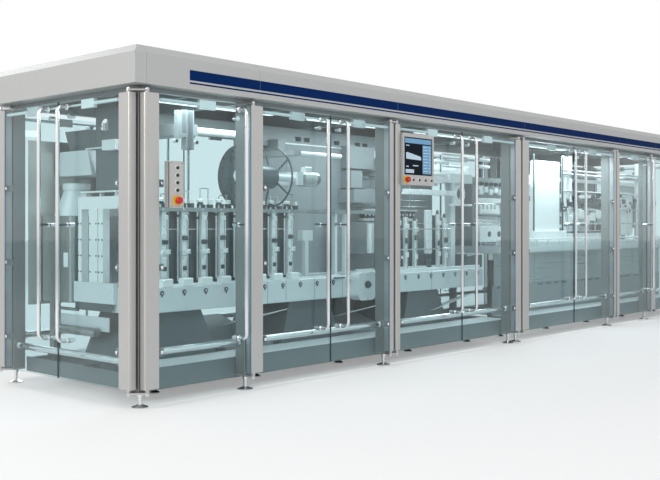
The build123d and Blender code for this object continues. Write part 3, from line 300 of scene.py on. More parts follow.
# Mesh helpers: each piece is one mesh of many small forms, with rounded edges
def add_box(bm, low, high, soft=0.0008):
    low, high = Vector(low), Vector(high)
    made = bmesh.ops.create_cube(bm, size=1.0)
    verts = made["verts"]
    bmesh.ops.scale(bm, vec=high - low, verts=verts)
    bmesh.ops.translate(bm, vec=(low + high) / 2, verts=verts)
    if soft:
        edges = list(dict.fromkeys(edge for vert in verts for edge in vert.link_edges))
        bmesh.ops.bevel(bm, geom=edges, offset=soft, segments=1, affect="EDGES")


def add_lathe(bm, origin, axis, profile, sides=20):
    """Turn (radius, distance) pairs round an axis."""
    axis = Vector(axis).normalized()
    turn = axis.to_track_quat("Z", "Y").to_matrix()
    origin = Vector(origin)
    rings = []
    for radius, along in profile:
        if radius == 0:
            rings.append([bm.verts.new(origin + axis * along)])
            continue
        ring = []
        for k in range(sides):
            angle = 2 * math.pi * k / sides
            offset = turn @ Vector((radius * math.cos(angle), radius * math.sin(angle), along))
            ring.append(bm.verts.new(origin + offset))
        rings.append(ring)
    for first, second in zip(rings, rings[1:]):
        for k in range(sides):
            corners = [first[k % len(first)], first[(k + 1) % len(first)]]
            corners += [second[(k + 1) % len(second)], second[k % len(second)]]
            unique = list(dict.fromkeys(corners))
            if len(unique) > 2:
                bm.faces.new(unique)


def add_rod(bm, start, end, radius, sides=16, round_end=0.12):
    start, end = Vector(start), Vector(end)
    span = (end - start).length
    small = radius * round_end
    profile = [(0, 0), (radius - small, 0), (radius, small), (radius, span - small)]
    profile += [(radius - small, span), (0, span)]
    add_lathe(bm, start, end - start, profile, sides)


def add_screw(bm, origin, axis, radius, height):
    """Cap screw: rounded head with a hexagon socket."""
    inner, deep = radius * 0.5, height * 0.5
    profile = [(radius, 0), (radius, height * 0.75), (radius * 0.85, height), (inner, height)]
    add_lathe(bm, origin, axis, profile, 18)
    socket = Vector(origin) + Vector(axis).normalized() * height
    add_lathe(bm, socket, axis, [(inner, 0), (inner, -deep), (0, -deep)], 6)


def add_nut(bm, origin, axis, across, height):
    radius = across / math.sqrt(3)
    profile = [(0, 0), (radius * 0.92, 0), (radius, height * 0.15), (radius, height * 0.85)]
    profile += [(radius * 0.92, height), (0, height)]
    add_lathe(bm, origin, axis, profile, 6)


SHARP_DEGREES = 32


def piece(name, body, key, build):
    """Make one mesh piece that rides on a body."""
    bm = bmesh.new()
    build(bm)
    bmesh.ops.recalc_face_normals(bm, faces=bm.faces)
    mesh = bpy.data.meshes.new(name)
    bm.to_mesh(mesh)
    bm.free()
    for face in mesh.polygons:
        face.use_smooth = True
    obj = bpy.data.objects.new(name, mesh)
    bpy.context.scene.collection.objects.link(obj)
    mod = obj.modifiers.new("sharp", "EDGE_SPLIT")
    mod.split_angle = math.radians(SHARP_DEGREES)
    mesh.materials.append(MATS[key])
    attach(obj, body)
    return obj


# Doors: sort the loose solids of each leaf's frame and dress them
FRONT, BACK = Vector((0, -1, 0)), Vector((0, 1, 0))
LEFT, RIGHT = Vector((-1, 0, 0)), Vector((1, 0, 0))
SIDES = (
    (FRONT, 1, -DEPTH / 2), (BACK, 1, DEPTH / 2), (LEFT, 0, -LENGTH / 2), (RIGHT, 0, LENGTH / 2),
)

# Sizes that tell a leaf's solids apart, in metres
STILE_TALL = 1.9
HANDLE_TALL = 1.5
STAY_FLAT = 0.08
STAY_LONG = 0.3
SCREW_FLAT = 0.006
CLAMP_TALL = 0.045

HANDLE_RADIUS = 0.014
STAND_OFF_HEIGHT = 1.223
STAND_OFF_THICK = 0.010
PIN_ENDS = ((0.104, -1), (2.116, 1))
PIN_HEAD_THICK = 0.003
PIN_HEAD = [(0, 0), (0.0145, 0), (0.0145, PIN_HEAD_THICK), (0, PIN_HEAD_THICK)]


def outward(part):
    """The side of the guard that a leaf's solid stands on."""
    def distance(side):
        _, axis, at = side
        return min(abs(part.low[axis] - at), abs(part.high[axis] - at))

    return min(SIDES, key=distance)[0]


def inner_end(part, out):
    """Middle of a solid's face towards the machine."""
    return part.centre - out * part.size[1 if abs(out.y) > 0 else 0] / 2


def leaf_body(name):
    """Body that a leaf's node rides on: the closed leaves ride on the root."""
    body = name.rsplit("_", 1)[0]
    return body if body in frame["bodies"] else "root"


def at_stand_off(mesh, face):
    heights = [mesh.vertices[i].co.z for i in face.vertices]
    return all(abs(z - STAND_OFF_HEIGHT) < STAND_OFF_THICK for z in heights)


door_frames = [n for n in nodes if node_key(n) == "stile" and n != "pivot_plates"]
for name in door_frames:
    obj = nodes[name]
    body = leaf_body(name)
    parts = loose_parts(obj)
    stiles = [p for p in parts if p.size.z > STILE_TALL]
    handles = [p for p in parts if HANDLE_TALL < p.size.z < STILE_TALL]
    stays = [p for p in parts if p.size.z < STAY_FLAT and max(p.size.x, p.size.y) > STAY_LONG]
    others = [p for p in parts if p not in stiles + handles + stays]
    screws = [p for p in others if min(p.size.x, p.size.y) < SCREW_FLAT]
    clamps = [p for p in others if p not in screws and p.size.z > CLAMP_TALL]
    nuts = [p for p in others if p not in screws and p not in clamps]
    recolor(obj, handles + screws + nuts, "polish")
    recolor(obj, stays, "bright")
    recolor(obj, clamps, "column")
    stand_offs = [f for part in handles for f in part.faces if at_stand_off(obj.data, f)]
    recolor_faces(obj, stand_offs, "dark")

    def screw_sockets(bm):
        for part in screws:
            out = outward(part)
            front = part.centre + out * min(part.size.x, part.size.y) / 2
            add_screw(bm, front, out, 0.0075, 0.0025)

    def handle_washers(bm):
        for part in handles:
            out = outward(part)
            foot = inner_end(part, out)
            ends = (
                (part.low.z + HANDLE_RADIUS, 0.021),
                (part.high.z - HANDLE_RADIUS, 0.021),
                (STAND_OFF_HEIGHT, 0.015),
            )
            for z, radius in ends:
                where = Vector((foot.x, foot.y, z))
                profile = [(radius, 0), (radius, 0.004), (radius - 0.002, 0.006), (0.008, 0.006)]
                add_lathe(bm, where, out, profile, 20)

    def nut_caps(bm):
        for part in nuts:
            out = outward(part)
            add_nut(bm, inner_end(part, out), -out, 0.022, 0.009)

    def pins(bm):
        for part in stiles:
            low = [p for p in part.points if p.z < part.low.z + 0.004]
            centre = sum(low, Vector()) / len(low)
            for z, way in PIN_ENDS:
                where = Vector((centre.x, centre.y, z))
                add_lathe(bm, where, (0, 0, way), PIN_HEAD, 20)
                tip = where + Vector((0, 0, way * PIN_HEAD_THICK))
                add_nut(bm, tip, (0, 0, way), 0.019, 0.009)

    piece(name + "_screws", body, "polish", screw_sockets)
    piece(name + "_washers", body, "polish", handle_washers)
    piece(name + "_nuts", body, "polish", nut_caps)
    piece(name + "_pins", "root", "polish", pins)


# The glass's upright edges get painted light: a painted blue glow beside a stile and painted shade,
# dark, elsewhere
EDGE_THIN = 0.0016
EDGE_GAP = 0.0002
STILE_NEAR = 0.10
stile_lines = []
for name in door_frames:
    stile_lines += [p.centre for p in loose_parts(nodes[name]) if p.size.z > STILE_TALL]


def edge_strips(panes, by_stile):
    """Thin strips on the upright edges of panes, either beside a stile or away from one."""
    strips = []
    for part in panes:
        axis = 0 if part.size.x > part.size.y else 1
        for end, way in ((part.low, -1), (part.high, 1)):
            low, high, middle = part.low.copy(), part.high.copy(), part.centre.copy()
            middle[axis] = end[axis]
            gap = min((line - middle).to_2d().length for line in stile_lines)
            if (gap < STILE_NEAR) == by_stile:
                sides = sorted((end[axis] + way * EDGE_GAP, end[axis] + way * EDGE_THIN))
                low[axis], high[axis] = sides
                strips.append((low, high))
    return strips


for name in [n for n in nodes if n.endswith("_glass")]:
    panes = loose_parts(nodes[name])
    # Strips beside a stile carry the painted glow, the free strips the painted shade
    for suffix, key, by_stile in (("_edges", "edge", True), ("_free_edges", "edge_dark", False)):
        strips = edge_strips(panes, by_stile)

        def add_strips(bm):
            for low, high in strips:
                add_box(bm, low, high, 0)

        if strips:
            piece(name + suffix, leaf_body(name), key, add_strips)


# Button box and operator panel
STOP_WIDE = 0.05
STOP_RAISED = 0.006
BUTTONS = (("button_box_buttons", "bay1_door"), ("control_panel_buttons", "bay3_door_left"))
for name, body in BUTTONS:
    obj = nodes[name]
    parts = loose_parts(obj)
    stops = [p for p in parts if p.size.x > STOP_WIDE]
    small = [p for p in parts if p.size.x <= STOP_WIDE]
    centre = stops[0].centre
    face_y = max(p.high.y for p in parts)
    verts = obj.data.vertices
    raised = [
        face for face in stops[0].faces
        if min(verts[i].co.y for i in face.vertices) < face_y - STOP_RAISED
    ]
    recolor(obj, stops, "yellow")
    recolor_faces(obj, raised, "red")

    def mushroom(bm):
        profile = [(0.0195, 0.008), (0.0205, 0.014), (0.0236, 0.0165), (0.0242, 0.024)]
        profile += [(0.0232, 0.033), (0.0205, 0.0383), (0.012, 0.0392), (0, 0.0395)]
        add_lathe(bm, Vector((centre.x, face_y, centre.z)), FRONT, profile, 32)

    def bezels(bm):
        profile = [(0.017, 0), (0.017, 0.003), (0.0155, 0.005), (0.0125, 0.005), (0.0125, 0.0005)]
        for part in small:
            add_lathe(bm, Vector((part.centre.x, face_y, part.centre.z)), FRONT, profile, 28)

    def caps(bm):
        for part in small:
            where = Vector((part.centre.x, part.low.y, part.centre.z))
            add_lathe(bm, where, FRONT, [(0.0105, 0.0002), (0.009, 0.0016), (0, 0.0018)], 24)

    piece(name + "_mushroom", body, "red", mushroom)
    piece(name + "_bezels", body, "bright", bezels)
    piece(name + "_caps", body, "black", caps)

box_low, box_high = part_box("button_box")


def box_seam(bm):
    low = (box_low.x - 0.0012, box_low.y + 0.012, box_low.z + 0.006)
    high = (box_low.x - 0.0002, box_low.y + 0.018, box_high.z - 0.006)
    add_box(bm, low, high, 0)
    for z in (box_low.z + 0.012, box_high.z - 0.012):
        for x in (box_low.x + 0.012, box_high.x - 0.012):
            add_screw(bm, (x, box_low.y, z), FRONT, 0.0035, 0.0012)


piece("button_box_seam", "bay1_door", "seal", box_seam)

panel_low, panel_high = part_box("control_panel")
SCREEN_WIDE, SCREEN_HIGH = 0.403, 0.323
SCREEN_DEEP = 0.004
SCREEN_MARGIN = 0.036
GASKET = 0.004
screen_left = (panel_low.x + panel_high.x) / 2 - SCREEN_WIDE / 2
screen_top = panel_high.z - SCREEN_MARGIN
screen_right = screen_left + SCREEN_WIDE
screen_bottom = screen_top - SCREEN_HIGH
screen_y = panel_low.y + SCREEN_DEEP


def screen_area(bm, left, top, wide, tall, lift):
    """Flat field of the screen, by shares of its width and height."""
    x0 = screen_left + left * SCREEN_WIDE
    z1 = screen_top - top * SCREEN_HIGH
    y = screen_y - lift
    size = (wide * SCREEN_WIDE, tall * SCREEN_HIGH)
    add_box(bm, (x0, y - 0.0004, z1 - size[1]), (x0 + size[0], y, z1), 0)


def screen_base(bm):
    screen_area(bm, 0, 0, 1, 1, 0.0004)


def screen_fields(bm):
    screen_area(bm, 0.02, 0.02, 0.96, 0.13, 0.001)
    screen_area(bm, 0.66, 0.18, 0.32, 0.79, 0.001)


def screen_marks(bm):
    shape = [(0.05, 0.42), (0.10, 0.40), (0.58, 0.50), (0.60, 0.53), (0.60, 0.60), (0.06, 0.58)]
    verts = []
    for across, down in shape:
        x, z = screen_left + across * SCREEN_WIDE, screen_top - down * SCREEN_HIGH
        verts.append(bm.verts.new((x, screen_y - 0.0022, z)))
    bm.faces.new(verts)
    screen_area(bm, 0.04, 0.86, 0.30, 0.10, 0.0016)
    screen_area(bm, 0.06, 0.20, 0.05, 0.03, 0.0016)
    screen_area(bm, 0.13, 0.20, 0.04, 0.03, 0.0016)
    screen_area(bm, 0.06, 0.77, 0.09, 0.03, 0.0016)
    screen_area(bm, 0.30, 0.74, 0.20, 0.03, 0.0016)
    for row in range(9):
        top = 0.22 + row * 0.083
        screen_area(bm, 0.68, top, 0.13 + 0.02 * (row % 3), 0.02, 0.0018)
        screen_area(bm, 0.88, top, 0.07, 0.02, 0.0018)


def screen_gasket(bm):
    for x0, x1, z0, z1 in (
        (screen_left - GASKET, screen_left, screen_bottom - GASKET, screen_top + GASKET),
        (screen_right, screen_right + GASKET, screen_bottom - GASKET, screen_top + GASKET),
        (screen_left, screen_right, screen_top, screen_top + GASKET),
        (screen_left, screen_right, screen_bottom - GASKET, screen_bottom),
    ):
        add_box(bm, (x0, panel_low.y - 0.0006, z0), (x1, panel_low.y, z1), 0)


piece("panel_screen", "bay3_door_left", "screen", screen_base)
piece("panel_fields", "bay3_door_left", "screen_blue", screen_fields)
piece("panel_marks", "bay3_door_left", "screen_light", screen_marks)
piece("panel_gasket", "bay3_door_left", "seal", screen_gasket)


# Loose solids inside the machine that have a finish of their own, told apart by size in metres
def recolor_where(name, key, test):
    """Give the loose solids of a node that pass a test another finish."""
    recolor(nodes[name], [p for p in loose_parts(nodes[name]) if test(p)], key)


ROLLER_THICK = 0.07
ROLLER_LONG = 0.3
BEAM_LONG = 2.0
PLATE_THIN = 0.03
POST_TALL = 0.4
FUNNEL_TOP = 0.92
HOPPER_MOUTH = 1.9
HOPPER_POST = (0.25, 0.1)
NEAR_POSTS_END = place(0.6, 0, 0).x
LAST_TOWER_START = place(8.55, 0, 0).x


def is_side_plate(part):
    return part.size.x < PLATE_THIN and part.size.z > POST_TALL


def is_near_upright(part):
    near = part.low.x < NEAR_POSTS_END
    return near and part.size.z > POST_TALL and not is_side_plate(part)


def is_hopper_steel(part):
    tall, thin = HOPPER_POST
    return part.high.z > HOPPER_MOUTH or part.size.z > tall and part.size.x < thin


recolor_where("web_rollers", "wall", lambda p: p.size.z > ROLLER_THICK or p.size.x < ROLLER_LONG)
recolor_where("head_beam", "wall", lambda p: p.size.x > BEAM_LONG)
recolor_where("outfeed_towers", "bright_plate", lambda p: p.low.x > LAST_TOWER_START)
recolor_where("outfeed_chute", "paint", lambda p: p.high.z < FUNNEL_TOP)
recolor_where("head_beam", "jaw", is_side_plate)
recolor_where("hopper", "jaw", is_hopper_steel)
near_uprights = [p for p in loose_parts(nodes["head_beam"]) if is_near_upright(p)]

# Machine behind the glass, in millimetres from the guard's near corner
STATION_PITCH = 191.0
STATIONS = [675.0 + STATION_PITCH * k for k in range(8)]
REAR_STATIONS = [
    (s, 1330 - 34 * (k % 3)) for k, s in enumerate((3560.0, 3690.0, 3840.0, 4235.0, 4355.0))
]
BAR_FACE = 560.0
BED_FACE = 450.0
WALL_FACE = 1100.0
BEAM_TOP = 1352.0
BED_TOP = 767.5
ON_TABLE = 990.5
ON_BASE = 210.5
TOWER_FACE = 760.0
REEL = (500.0, 1610.0)
WALL_JOINTS = (2520, 3100, 3740, 4300)
WALL_LAMP = (1815, 900, 2040)
UP = Vector((0, 0, 1))


def spot(s, t, z):
    return place(s * MM, t * MM, z * MM)


def slab(bm, s, t, z, soft=1.0):
    """Box between (first, last) along the line, in depth and in height."""
    add_box(bm, spot(s[0], t[0], z[0]), spot(s[1], t[1], z[1]), soft * MM)


def rod(bm, first, last, radius, sides=14):
    add_rod(bm, spot(*first), spot(*last), radius * MM, sides)


def ball(bm, centre, radius, steps=7, sides=14):
    turns = [math.pi * k / steps for k in range(1, steps)]
    profile = [(radius * math.sin(a) * MM, -radius * math.cos(a) * MM) for a in turns]
    profile = [(0, -radius * MM)] + profile + [(0, radius * MM)]
    add_lathe(bm, spot(*centre), UP, profile, sides)


def pipe(bm, route, radius, sides=10):
    """Rigid pipe through corner points, with a round elbow at each."""
    for first, last in zip(route, route[1:]):
        rod(bm, first, last, radius, sides)
    for point in route[1:-1]:
        ball(bm, point, radius * 1.35)


def turned(bm, origin, axis, profile, sides=24):
    add_lathe(bm, spot(*origin), axis, [(r * MM, d * MM) for r, d in profile], sides)


def ribbed(bm, origin, axis, radius, length, count, depth=3.0, sides=20):
    """Closed cylinder with evenly spaced ribs."""
    pitch = length / count
    profile = [(0, 0)]
    for k in range(count):
        start = k * pitch
        profile += [(radius - depth, start), (radius - depth, start + pitch * 0.4)]
        profile += [(radius, start + pitch * 0.4), (radius, start + pitch)]
    turned(bm, origin, axis, profile + [(0, length)], sides)


def screws_at(bm, places, axis, radius=6.0, height=4.0):
    for where in places:
        add_screw(bm, spot(*where), axis, radius * MM, height * MM)


def detail(key, body="root"):
    """Make a machine piece with the name of the function below."""
    def make(build):
        piece(build.__name__, body, key, build)
        return build
    return make


@detail("polish")
def station_guides(bm):
    for s in STATIONS:
        for side in (-48, 48):
            rod(bm, (s + side, 579, BED_TOP), (s + side, 579, 1321.5), 8)
    rod(bm, (STATIONS[0] - 60, 592, 1188), (STATIONS[-1] + 60, 592, 1188), 5)


@detail("dark")
def station_collars(bm):
    for k, s in enumerate(STATIONS):
        for side in (-48, 48):
            for z in (777, 1292 - 14 * (k % 3)):
                turned(bm, (s + side, 579, z), UP, [(8, 0), (14, 0), (14, 22), (8, 22)])
        low = 1075 + 30 * (k % 2)
        slab(bm, (s - 24, s + 24), (540, 559.5), (low, low + 34), 3)
        slab(bm, (s - 14, s + 14), (544, 559.5), (878, 910), 3)
        turned(bm, (s, 600, BEAM_TOP), UP, [(0, 0), (27, 0), (27, 30), (22, 34), (22, 44), (0, 44)])
        slab(bm, (s + 62, s + 96), (556, 640), (BEAM_TOP, BEAM_TOP + 26 + 8 * (k % 2)), 2)


@detail("bright_plate")
def station_caps(bm):
    for k, s in enumerate(STATIONS):
        turned(bm, (s, 600, BEAM_TOP + 44), UP, [(22, 0), (29, 2), (29, 20), (22, 27), (0, 28)])
        slab(bm, (s - 26, s + 26), (548, 559.5), (1262, 1296), 2)
        slab(bm, (s + 66, s + 92), (560, 590), (BEAM_TOP + 26, BEAM_TOP + 66), 2)
        slab(bm, (s - 18, s + 18), (546, 559.5), (966, 984), 2)


@detail("bright")
def station_screws(bm):
    for s in STATIONS:
        screws_at(bm, [(s, BAR_FACE, z) for z in (840, 1145, 1205)], FRONT)
        screws_at(bm, [(s + side, 548, 1279) for side in (-17, 17)], FRONT, 5)
        screws_at(bm, [(s + side, 530, 1021) for side in (-26, 26)], FRONT, 7, 5)


@detail("polish")
def station_fittings(bm):
    for k, s in enumerate(STATIONS):
        for side in (-30, 30):
            turned(bm, (s + side, 570, BEAM_TOP), UP, [(9, 0), (9, 12), (6, 13), (6, 26), (0, 28)])
        rise = 1452 + 26 * (k % 3)
        over = s + 79
        route = [(s, 600, 1422), (s, 600, rise), (over, 600, rise), (over, 600, BEAM_TOP + 25)]
        pipe(bm, route, 4)


# Clips along the bed, apart from where its gear block stands
BED_CLIPS = [s for s in range(566, 4727, 208) if not 2650 < s < 2910]


@detail("dark")
def bed_fittings(bm):
    clip = [(0, 0), (18, 0), (18, 7), (15, 9), (9, 9), (9, 3), (0, 3)]
    for s in BED_CLIPS:
        turned(bm, (s, BED_FACE, 725), FRONT, clip)
        slab(bm, (s - 5, s + 5), (BED_FACE - 8, BED_FACE), (696, 716), 1)
    for s in (1640, 1852, 2202, 2560, 3330, 3900, 4480):
        slab(bm, (s - 1.5, s + 1.5), (BED_FACE - 0.8, BED_FACE), (584, 766), 0)
    shaft = [(0, 0), (34, 0), (34, 14), (20, 14), (20, 34), (17, 36), (0, 36)]
    turned(bm, (2780, 345, 690), FRONT, shaft, 28)
    slab(bm, (2442, 2572), (425, 450), (752, 764), 2)
    slab(bm, (318.6, 320), (712, 1176), (586, 644), 0)


@detail("bright")
def bed_screws(bm):
    screws_at(bm, [(s, BED_FACE - 3, 725) for s in BED_CLIPS], FRONT, 7, 8)
    corners = [(2675, 345, 780), (2885, 345, 780), (2675, 345, 570), (2885, 345, 570)]
    screws_at(bm, corners + [(2780, 345, 780), (2780, 345, 570)], FRONT, 9, 6)
    screws_at(bm, [(s, BED_FACE, 600) for s in range(480, 4800, 312)], FRONT, 5, 3)
    screws_at(bm, [(320, t, 745) for t in (720, 1160)], LEFT, 7, 4)


@detail("bright_plate")
def bed_rails(bm):
    for t in (514, 524):
        slab(bm, (380, 2620), (t, t + 8), (BED_TOP, 781), 1)
    slab(bm, (2960, 4800), (470, 500), (BED_TOP, 800), 2)
    slab(bm, (2960, 4400), (610, 640), (BED_TOP, 812), 2)
    for s in range(420, 2600, 95):
        slab(bm, (s, s + 60), (534, 546), (BED_TOP, 776), 1)


@detail("bright_plate")
def rear_stations(bm):
    for k, (s, top) in enumerate(REAR_STATIONS):
        slab(bm, (s - 12, s + 12), (600, 632), (BED_TOP, top), 3)
        slab(bm, (s + 34, s + 48), (640, 660), (BED_TOP, top - 60), 2)
        slab(bm, (s - 40, s + 40), (590, 600), (top - 110, top - 66), 2)
        slab(bm, (s - 28, s + 28), (588, 600), (880 + 24 * (k % 2), 930 + 24 * (k % 2)), 2)
    slab(bm, (4030, 4124), (600, 640), (932, 1371), 6)
    for first, last in ((3720, 3920), (3942, 4156), (4185, 4347), (4362, 4513)):
        slab(bm, (first, last), (606, 676), (1524, 1577), 4)
    ring = [(62.5, 0), (98, 0), (98, 16), (90, 20), (62.5, 20)]
    turned(bm, (4640, 628, 1549), FRONT, ring, 36)
    slab(bm, (4470, 4840), (590, 650), (1420, 1440), 2)
    for s in (4432, 4808):
        rod(bm, (s, 700, 1755.5), (s, 700, 1968), 7)
    for z in (1834, 1900, 1962):
        rod(bm, (4432, 700, z), (4808, 700, z), 8)


@detail("jaw")
def rear_station_parts(bm):
    for k, (s, top) in enumerate(REAR_STATIONS):
        slab(bm, (s - 50, s + 50), (664, 690), (BED_TOP, top - 10), 2)
        turned(bm, (s, 616, top), UP, [(0, 0), (16, 0), (16, 30), (10, 34), (10, 44), (0, 44)])
        slab(bm, (s - 20, s + 20), (576, 600), (1010 + 30 * (k % 3), 1062 + 30 * (k % 3)), 3)
        for side in (-34, 34):
            turned(bm, (s + side, 612, BED_TOP), UP, [(0, 0), (14, 0), (14, 24), (0, 24)])
    slab(bm, (4040, 4114), (604, 636), (BED_TOP, 931), 3)
    for z in (800, 860, 905):
        turned(bm, (4077, 604, z), FRONT, [(0, 0), (22, 0), (22, 12), (14, 12), (14, 20), (0, 20)])
    slab(bm, (4690, 4990), (560, 1000), (BED_TOP, 905), 6)


@detail("polish")
def rear_station_rods(bm):
    for k, (s, top) in enumerate(REAR_STATIONS):
        for side in (-34, 34):
            rod(bm, (s + side, 612, 780), (s + side, 612, top), 7)
        screws_at(bm, [(s, 600, z) for z in (850, 960, 1150, top - 30)], FRONT, 5)
        screws_at(bm, [(s + side, 590, top - 88) for side in (-28, 28)], FRONT, 5)
    screws_at(bm, [(s, 600, z) for s in (4045, 4109) for z in (950, 1060, 1240, 1350)], FRONT, 6)
    rod(bm, (3500, 590, 1180), (4420, 590, 1180), 6)
    rod(bm, (3500, 592, 980), (4420, 592, 980), 6)


@detail("polish")
def wall_pipes(bm):
    for z, first, last in ((1416, 3460, 4700), (1480, 3660, 4700), (1235, 3600, 4760)):
        rod(bm, (first, 1086, z), (last, 1086, z), 7)
        for s in range(first + 60, last, 290):
            slab(bm, (s, s + 16), (1076, WALL_FACE), (z - 10, z + 10), 2)
    for k, s in enumerate((3560, 3600, 3980, 4020, 4380)):
        top = 1690 + 40 * (k % 3)
        route = [(s, 1086, 1416), (s, 1086, top), (s + 120, 1086, top), (s + 120, WALL_FACE, top)]
        pipe(bm, route, 6)
    pipe(bm, [(1990, WALL_FACE, 1985), (1990, 1040, 2040), (1900, 960, 2070), WALL_LAMP], 5)


@detail("dark")
def wall_valves(bm):
    for k in range(14):
        s = 3580 + 62 * k
        slab(bm, (s, s + 52), (1048, WALL_FACE), (1290, 1362), 3)
    valve = [(0, 0), (36, 0), (36, 26), (30, 30), (16, 30), (16, 44), (0, 44)]
    for k in range(5):
        turned(bm, (3860 + 150 * k, WALL_FACE, 1830), FRONT, valve)
    for s in WALL_JOINTS:
        slab(bm, (s, s + 3), (WALL_FACE - 0.8, WALL_FACE), (768, 1984), 0)
    for k in range(5):
        for side in (0, 116):
            s = 2640 + 430 * k + side
            slab(bm, (s, s + 80), (1138, 1139.5), (2001, 2043), 0)


@detail("bright_plate")
def wall_blocks(bm):
    slab(bm, (2290, 4800), (1090, WALL_FACE), (1966, 1980), 1)
    slab(bm, (4420, 4800), (1000, WALL_FACE), (1650, 1750), 4)
    slab(bm, (3560, 4470), (1040, WALL_FACE), (1262, 1288), 2)
    slab(bm, (3560, 4470), (1040, WALL_FACE), (1364, 1380), 2)
    button = [(0, 0), (13, 0), (13, 5), (9, 8), (0, 8)]
    for k in range(14):
        turned(bm, (3606 + 62 * k, 1048, 1326), FRONT, button, 16)
    slab(bm, (3960, 4060), (1030, WALL_FACE), (1560, 1640), 4)
    slab(bm, (3700, 3820), (1040, WALL_FACE), (1900, 1960), 4)


@detail("bright")
def wall_screws(bm):
    for s in WALL_JOINTS:
        for side in (-18, 22):
            places = [(s + side, WALL_FACE, z) for z in range(820, 1960, 190)]
            screws_at(bm, places, FRONT, 7, 4)
    screws_at(bm, [(s, 540, 1337) for s in range(460, 3260, 191)], FRONT, 7, 4)


@detail("bright_plate")
def wall_lamp(bm):
    ball(bm, WALL_LAMP, 26, 10, 20)


@detail("bright_plate")
def cylinders(bm):
    for s in (3437, 3515):
        ribbed(bm, (s, 856, 945), UP, 32, 290, 12, 4)


@detail("bright", "film_reel")
def reel_ribs(bm):
    for s, way in ((1365, LEFT), (1735, RIGHT)):
        turned(bm, (s, *REEL), way, [(34, 0), (52, 0), (52, 6), (46, 9), (34, 9)], 32)
        for k in range(6):
            angle = 2 * math.pi * k / 6
            where = (s, REEL[0] + 43 * math.cos(angle), REEL[1] + 43 * math.sin(angle))
            add_screw(bm, spot(*where) + way * 0.009, way, 0.005, 0.004)


@detail("bright")
def motor_ribs(bm):
    for k in range(9):
        turned(bm, (2085 + 16 * k, *REEL), RIGHT, [(62.3, 0), (68, 0), (68, 6), (62.3, 6)], 32)
    slab(bm, (2110, 2190), (470, 530), (1668, 1712), 4)
    turned(bm, (2266, *REEL), RIGHT, [(50, 0), (50, 14), (44, 20), (0, 20)], 28)


# Rear cabinets, with panelled doors: the first one starts where the photo shows it
CABINETS = ((2450.0, 3300.0), (3400.0, 4780.0))
CABINET_HEIGHT = (210.0, 2060.0)
CABINET_FRONT, CABINET_BACK = 1200.0, 1600.0
DOOR_THICK = 16.0
CABINET_DOOR = 440.0


def cabinet_doors():
    """Left edge and width of each cabinet door."""
    for first, last in CABINETS:
        count = round((last - first) / CABINET_DOOR)
        wide = (last - first) / count
        for k in range(count):
            yield first + wide * k, wide


def cabinet_shells(bm):
    inside = (CABINET_FRONT + DOOR_THICK, CABINET_BACK - DOOR_THICK)
    for first, last in CABINETS:
        slab(bm, (first, last), inside, CABINET_HEIGHT, 4)
    for left, wide in cabinet_doors():
        for face in ((CABINET_FRONT, inside[0]), (inside[1], CABINET_BACK)):
            low, high = CABINET_HEIGHT
            slab(bm, (left + 4, left + wide - 4), face, (low + 70, high - 8), 3)


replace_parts(piece("rear_cabinet_shells", "root", "wall", cabinet_shells), "rear_cabinets")


@detail("dark")
def rear_cabinet_vents(bm):
    for left, wide in cabinet_doors():
        for low in (400, 1760):
            for z in range(low, low + 162, 18):
                span = (left + 110, left + wide - 110)
                slab(bm, span, (CABINET_BACK - 1, CABINET_BACK), (z, z + 8), 0)


@detail("polish")
def rear_cabinet_handles(bm):
    for left, _ in cabinet_doors():
        rod(bm, (left + 46, CABINET_BACK - 1, 1120), (left + 46, CABINET_BACK - 1, 1240), 6)


# Near end: plates over the cross head, screws on the uprights
@detail("bright_plate")
def end_plates(bm):
    slab(bm, (360, 462), (720, 1180), (1462, 1474), 2)
    slab(bm, (410, 470), (560, 680), (1352, 1440), 4)
    for t in (760, 950, 1140):
        slab(bm, (392, 424), (t, t + 20), (1431.5, 1462), 1)
    slab(bm, (295, 300), (1240, 1300), (900, 1010), 2)


@detail("dark")
def end_screws(bm):
    for part in near_uprights:
        for z in (0.87, 0.99, 1.11, 1.23):
            for side in (-0.35, 0.35):
                across = part.centre.y + side * part.size.y
                add_screw(bm, Vector((part.low.x, across, z)), LEFT, 0.006, 0.005)


# Outfeed module
TOWER_SPANS = ((5100.0, 5720.0, 1750.0), (7250.0, 7950.0, 1690.0), (8500.0, 8980.0, 1670.0))
TABLE = (5080.0, 9560.0)


@detail("bright_plate")
def table_band(bm):
    slab(bm, TABLE, (412, 420), (925, 984), 1)
    slab(bm, TABLE, (440, 452), (ON_TABLE, 1030), 1)
    for s in range(5140, 9560, 260):
        slab(bm, (s, s + 24), (424, 440), (ON_TABLE, 1052), 2)
    rod(bm, (TABLE[0], 432, 1060), (TABLE[1], 432, 1060), 8)


@detail("polish")
def table_rollers(bm):
    for s in range(5120, 9540, 92):
        under = any(first - 30 < s < last + 30 for first, last, _ in TOWER_SPANS)
        end = 622 if under or 6100 < s < 6960 else 1140
        rod(bm, (s, 460, 1004), (s, end, 1004), 13)


@detail("skirt")
def table_skirts(bm):
    for k in range(5):
        first = 5130 + 880 * k
        slab(bm, (first, first + 868), (500, 512), (556.5, 909.5), 3)


@detail("wall")
def lower_skirts(bm):
    slab(bm, (5100, 9540), (506, 518), (210, 556), 3)


@detail("dark")
def table_slots(bm):
    for k in range(5):
        for j in range(4):
            s = 5210 + 880 * k + 190 * j
            slab(bm, (s, s + 46), (505.2, 506), (524, 546), 0)
            slab(bm, (s + 64, s + 110), (505.2, 506), (524, 546), 0)


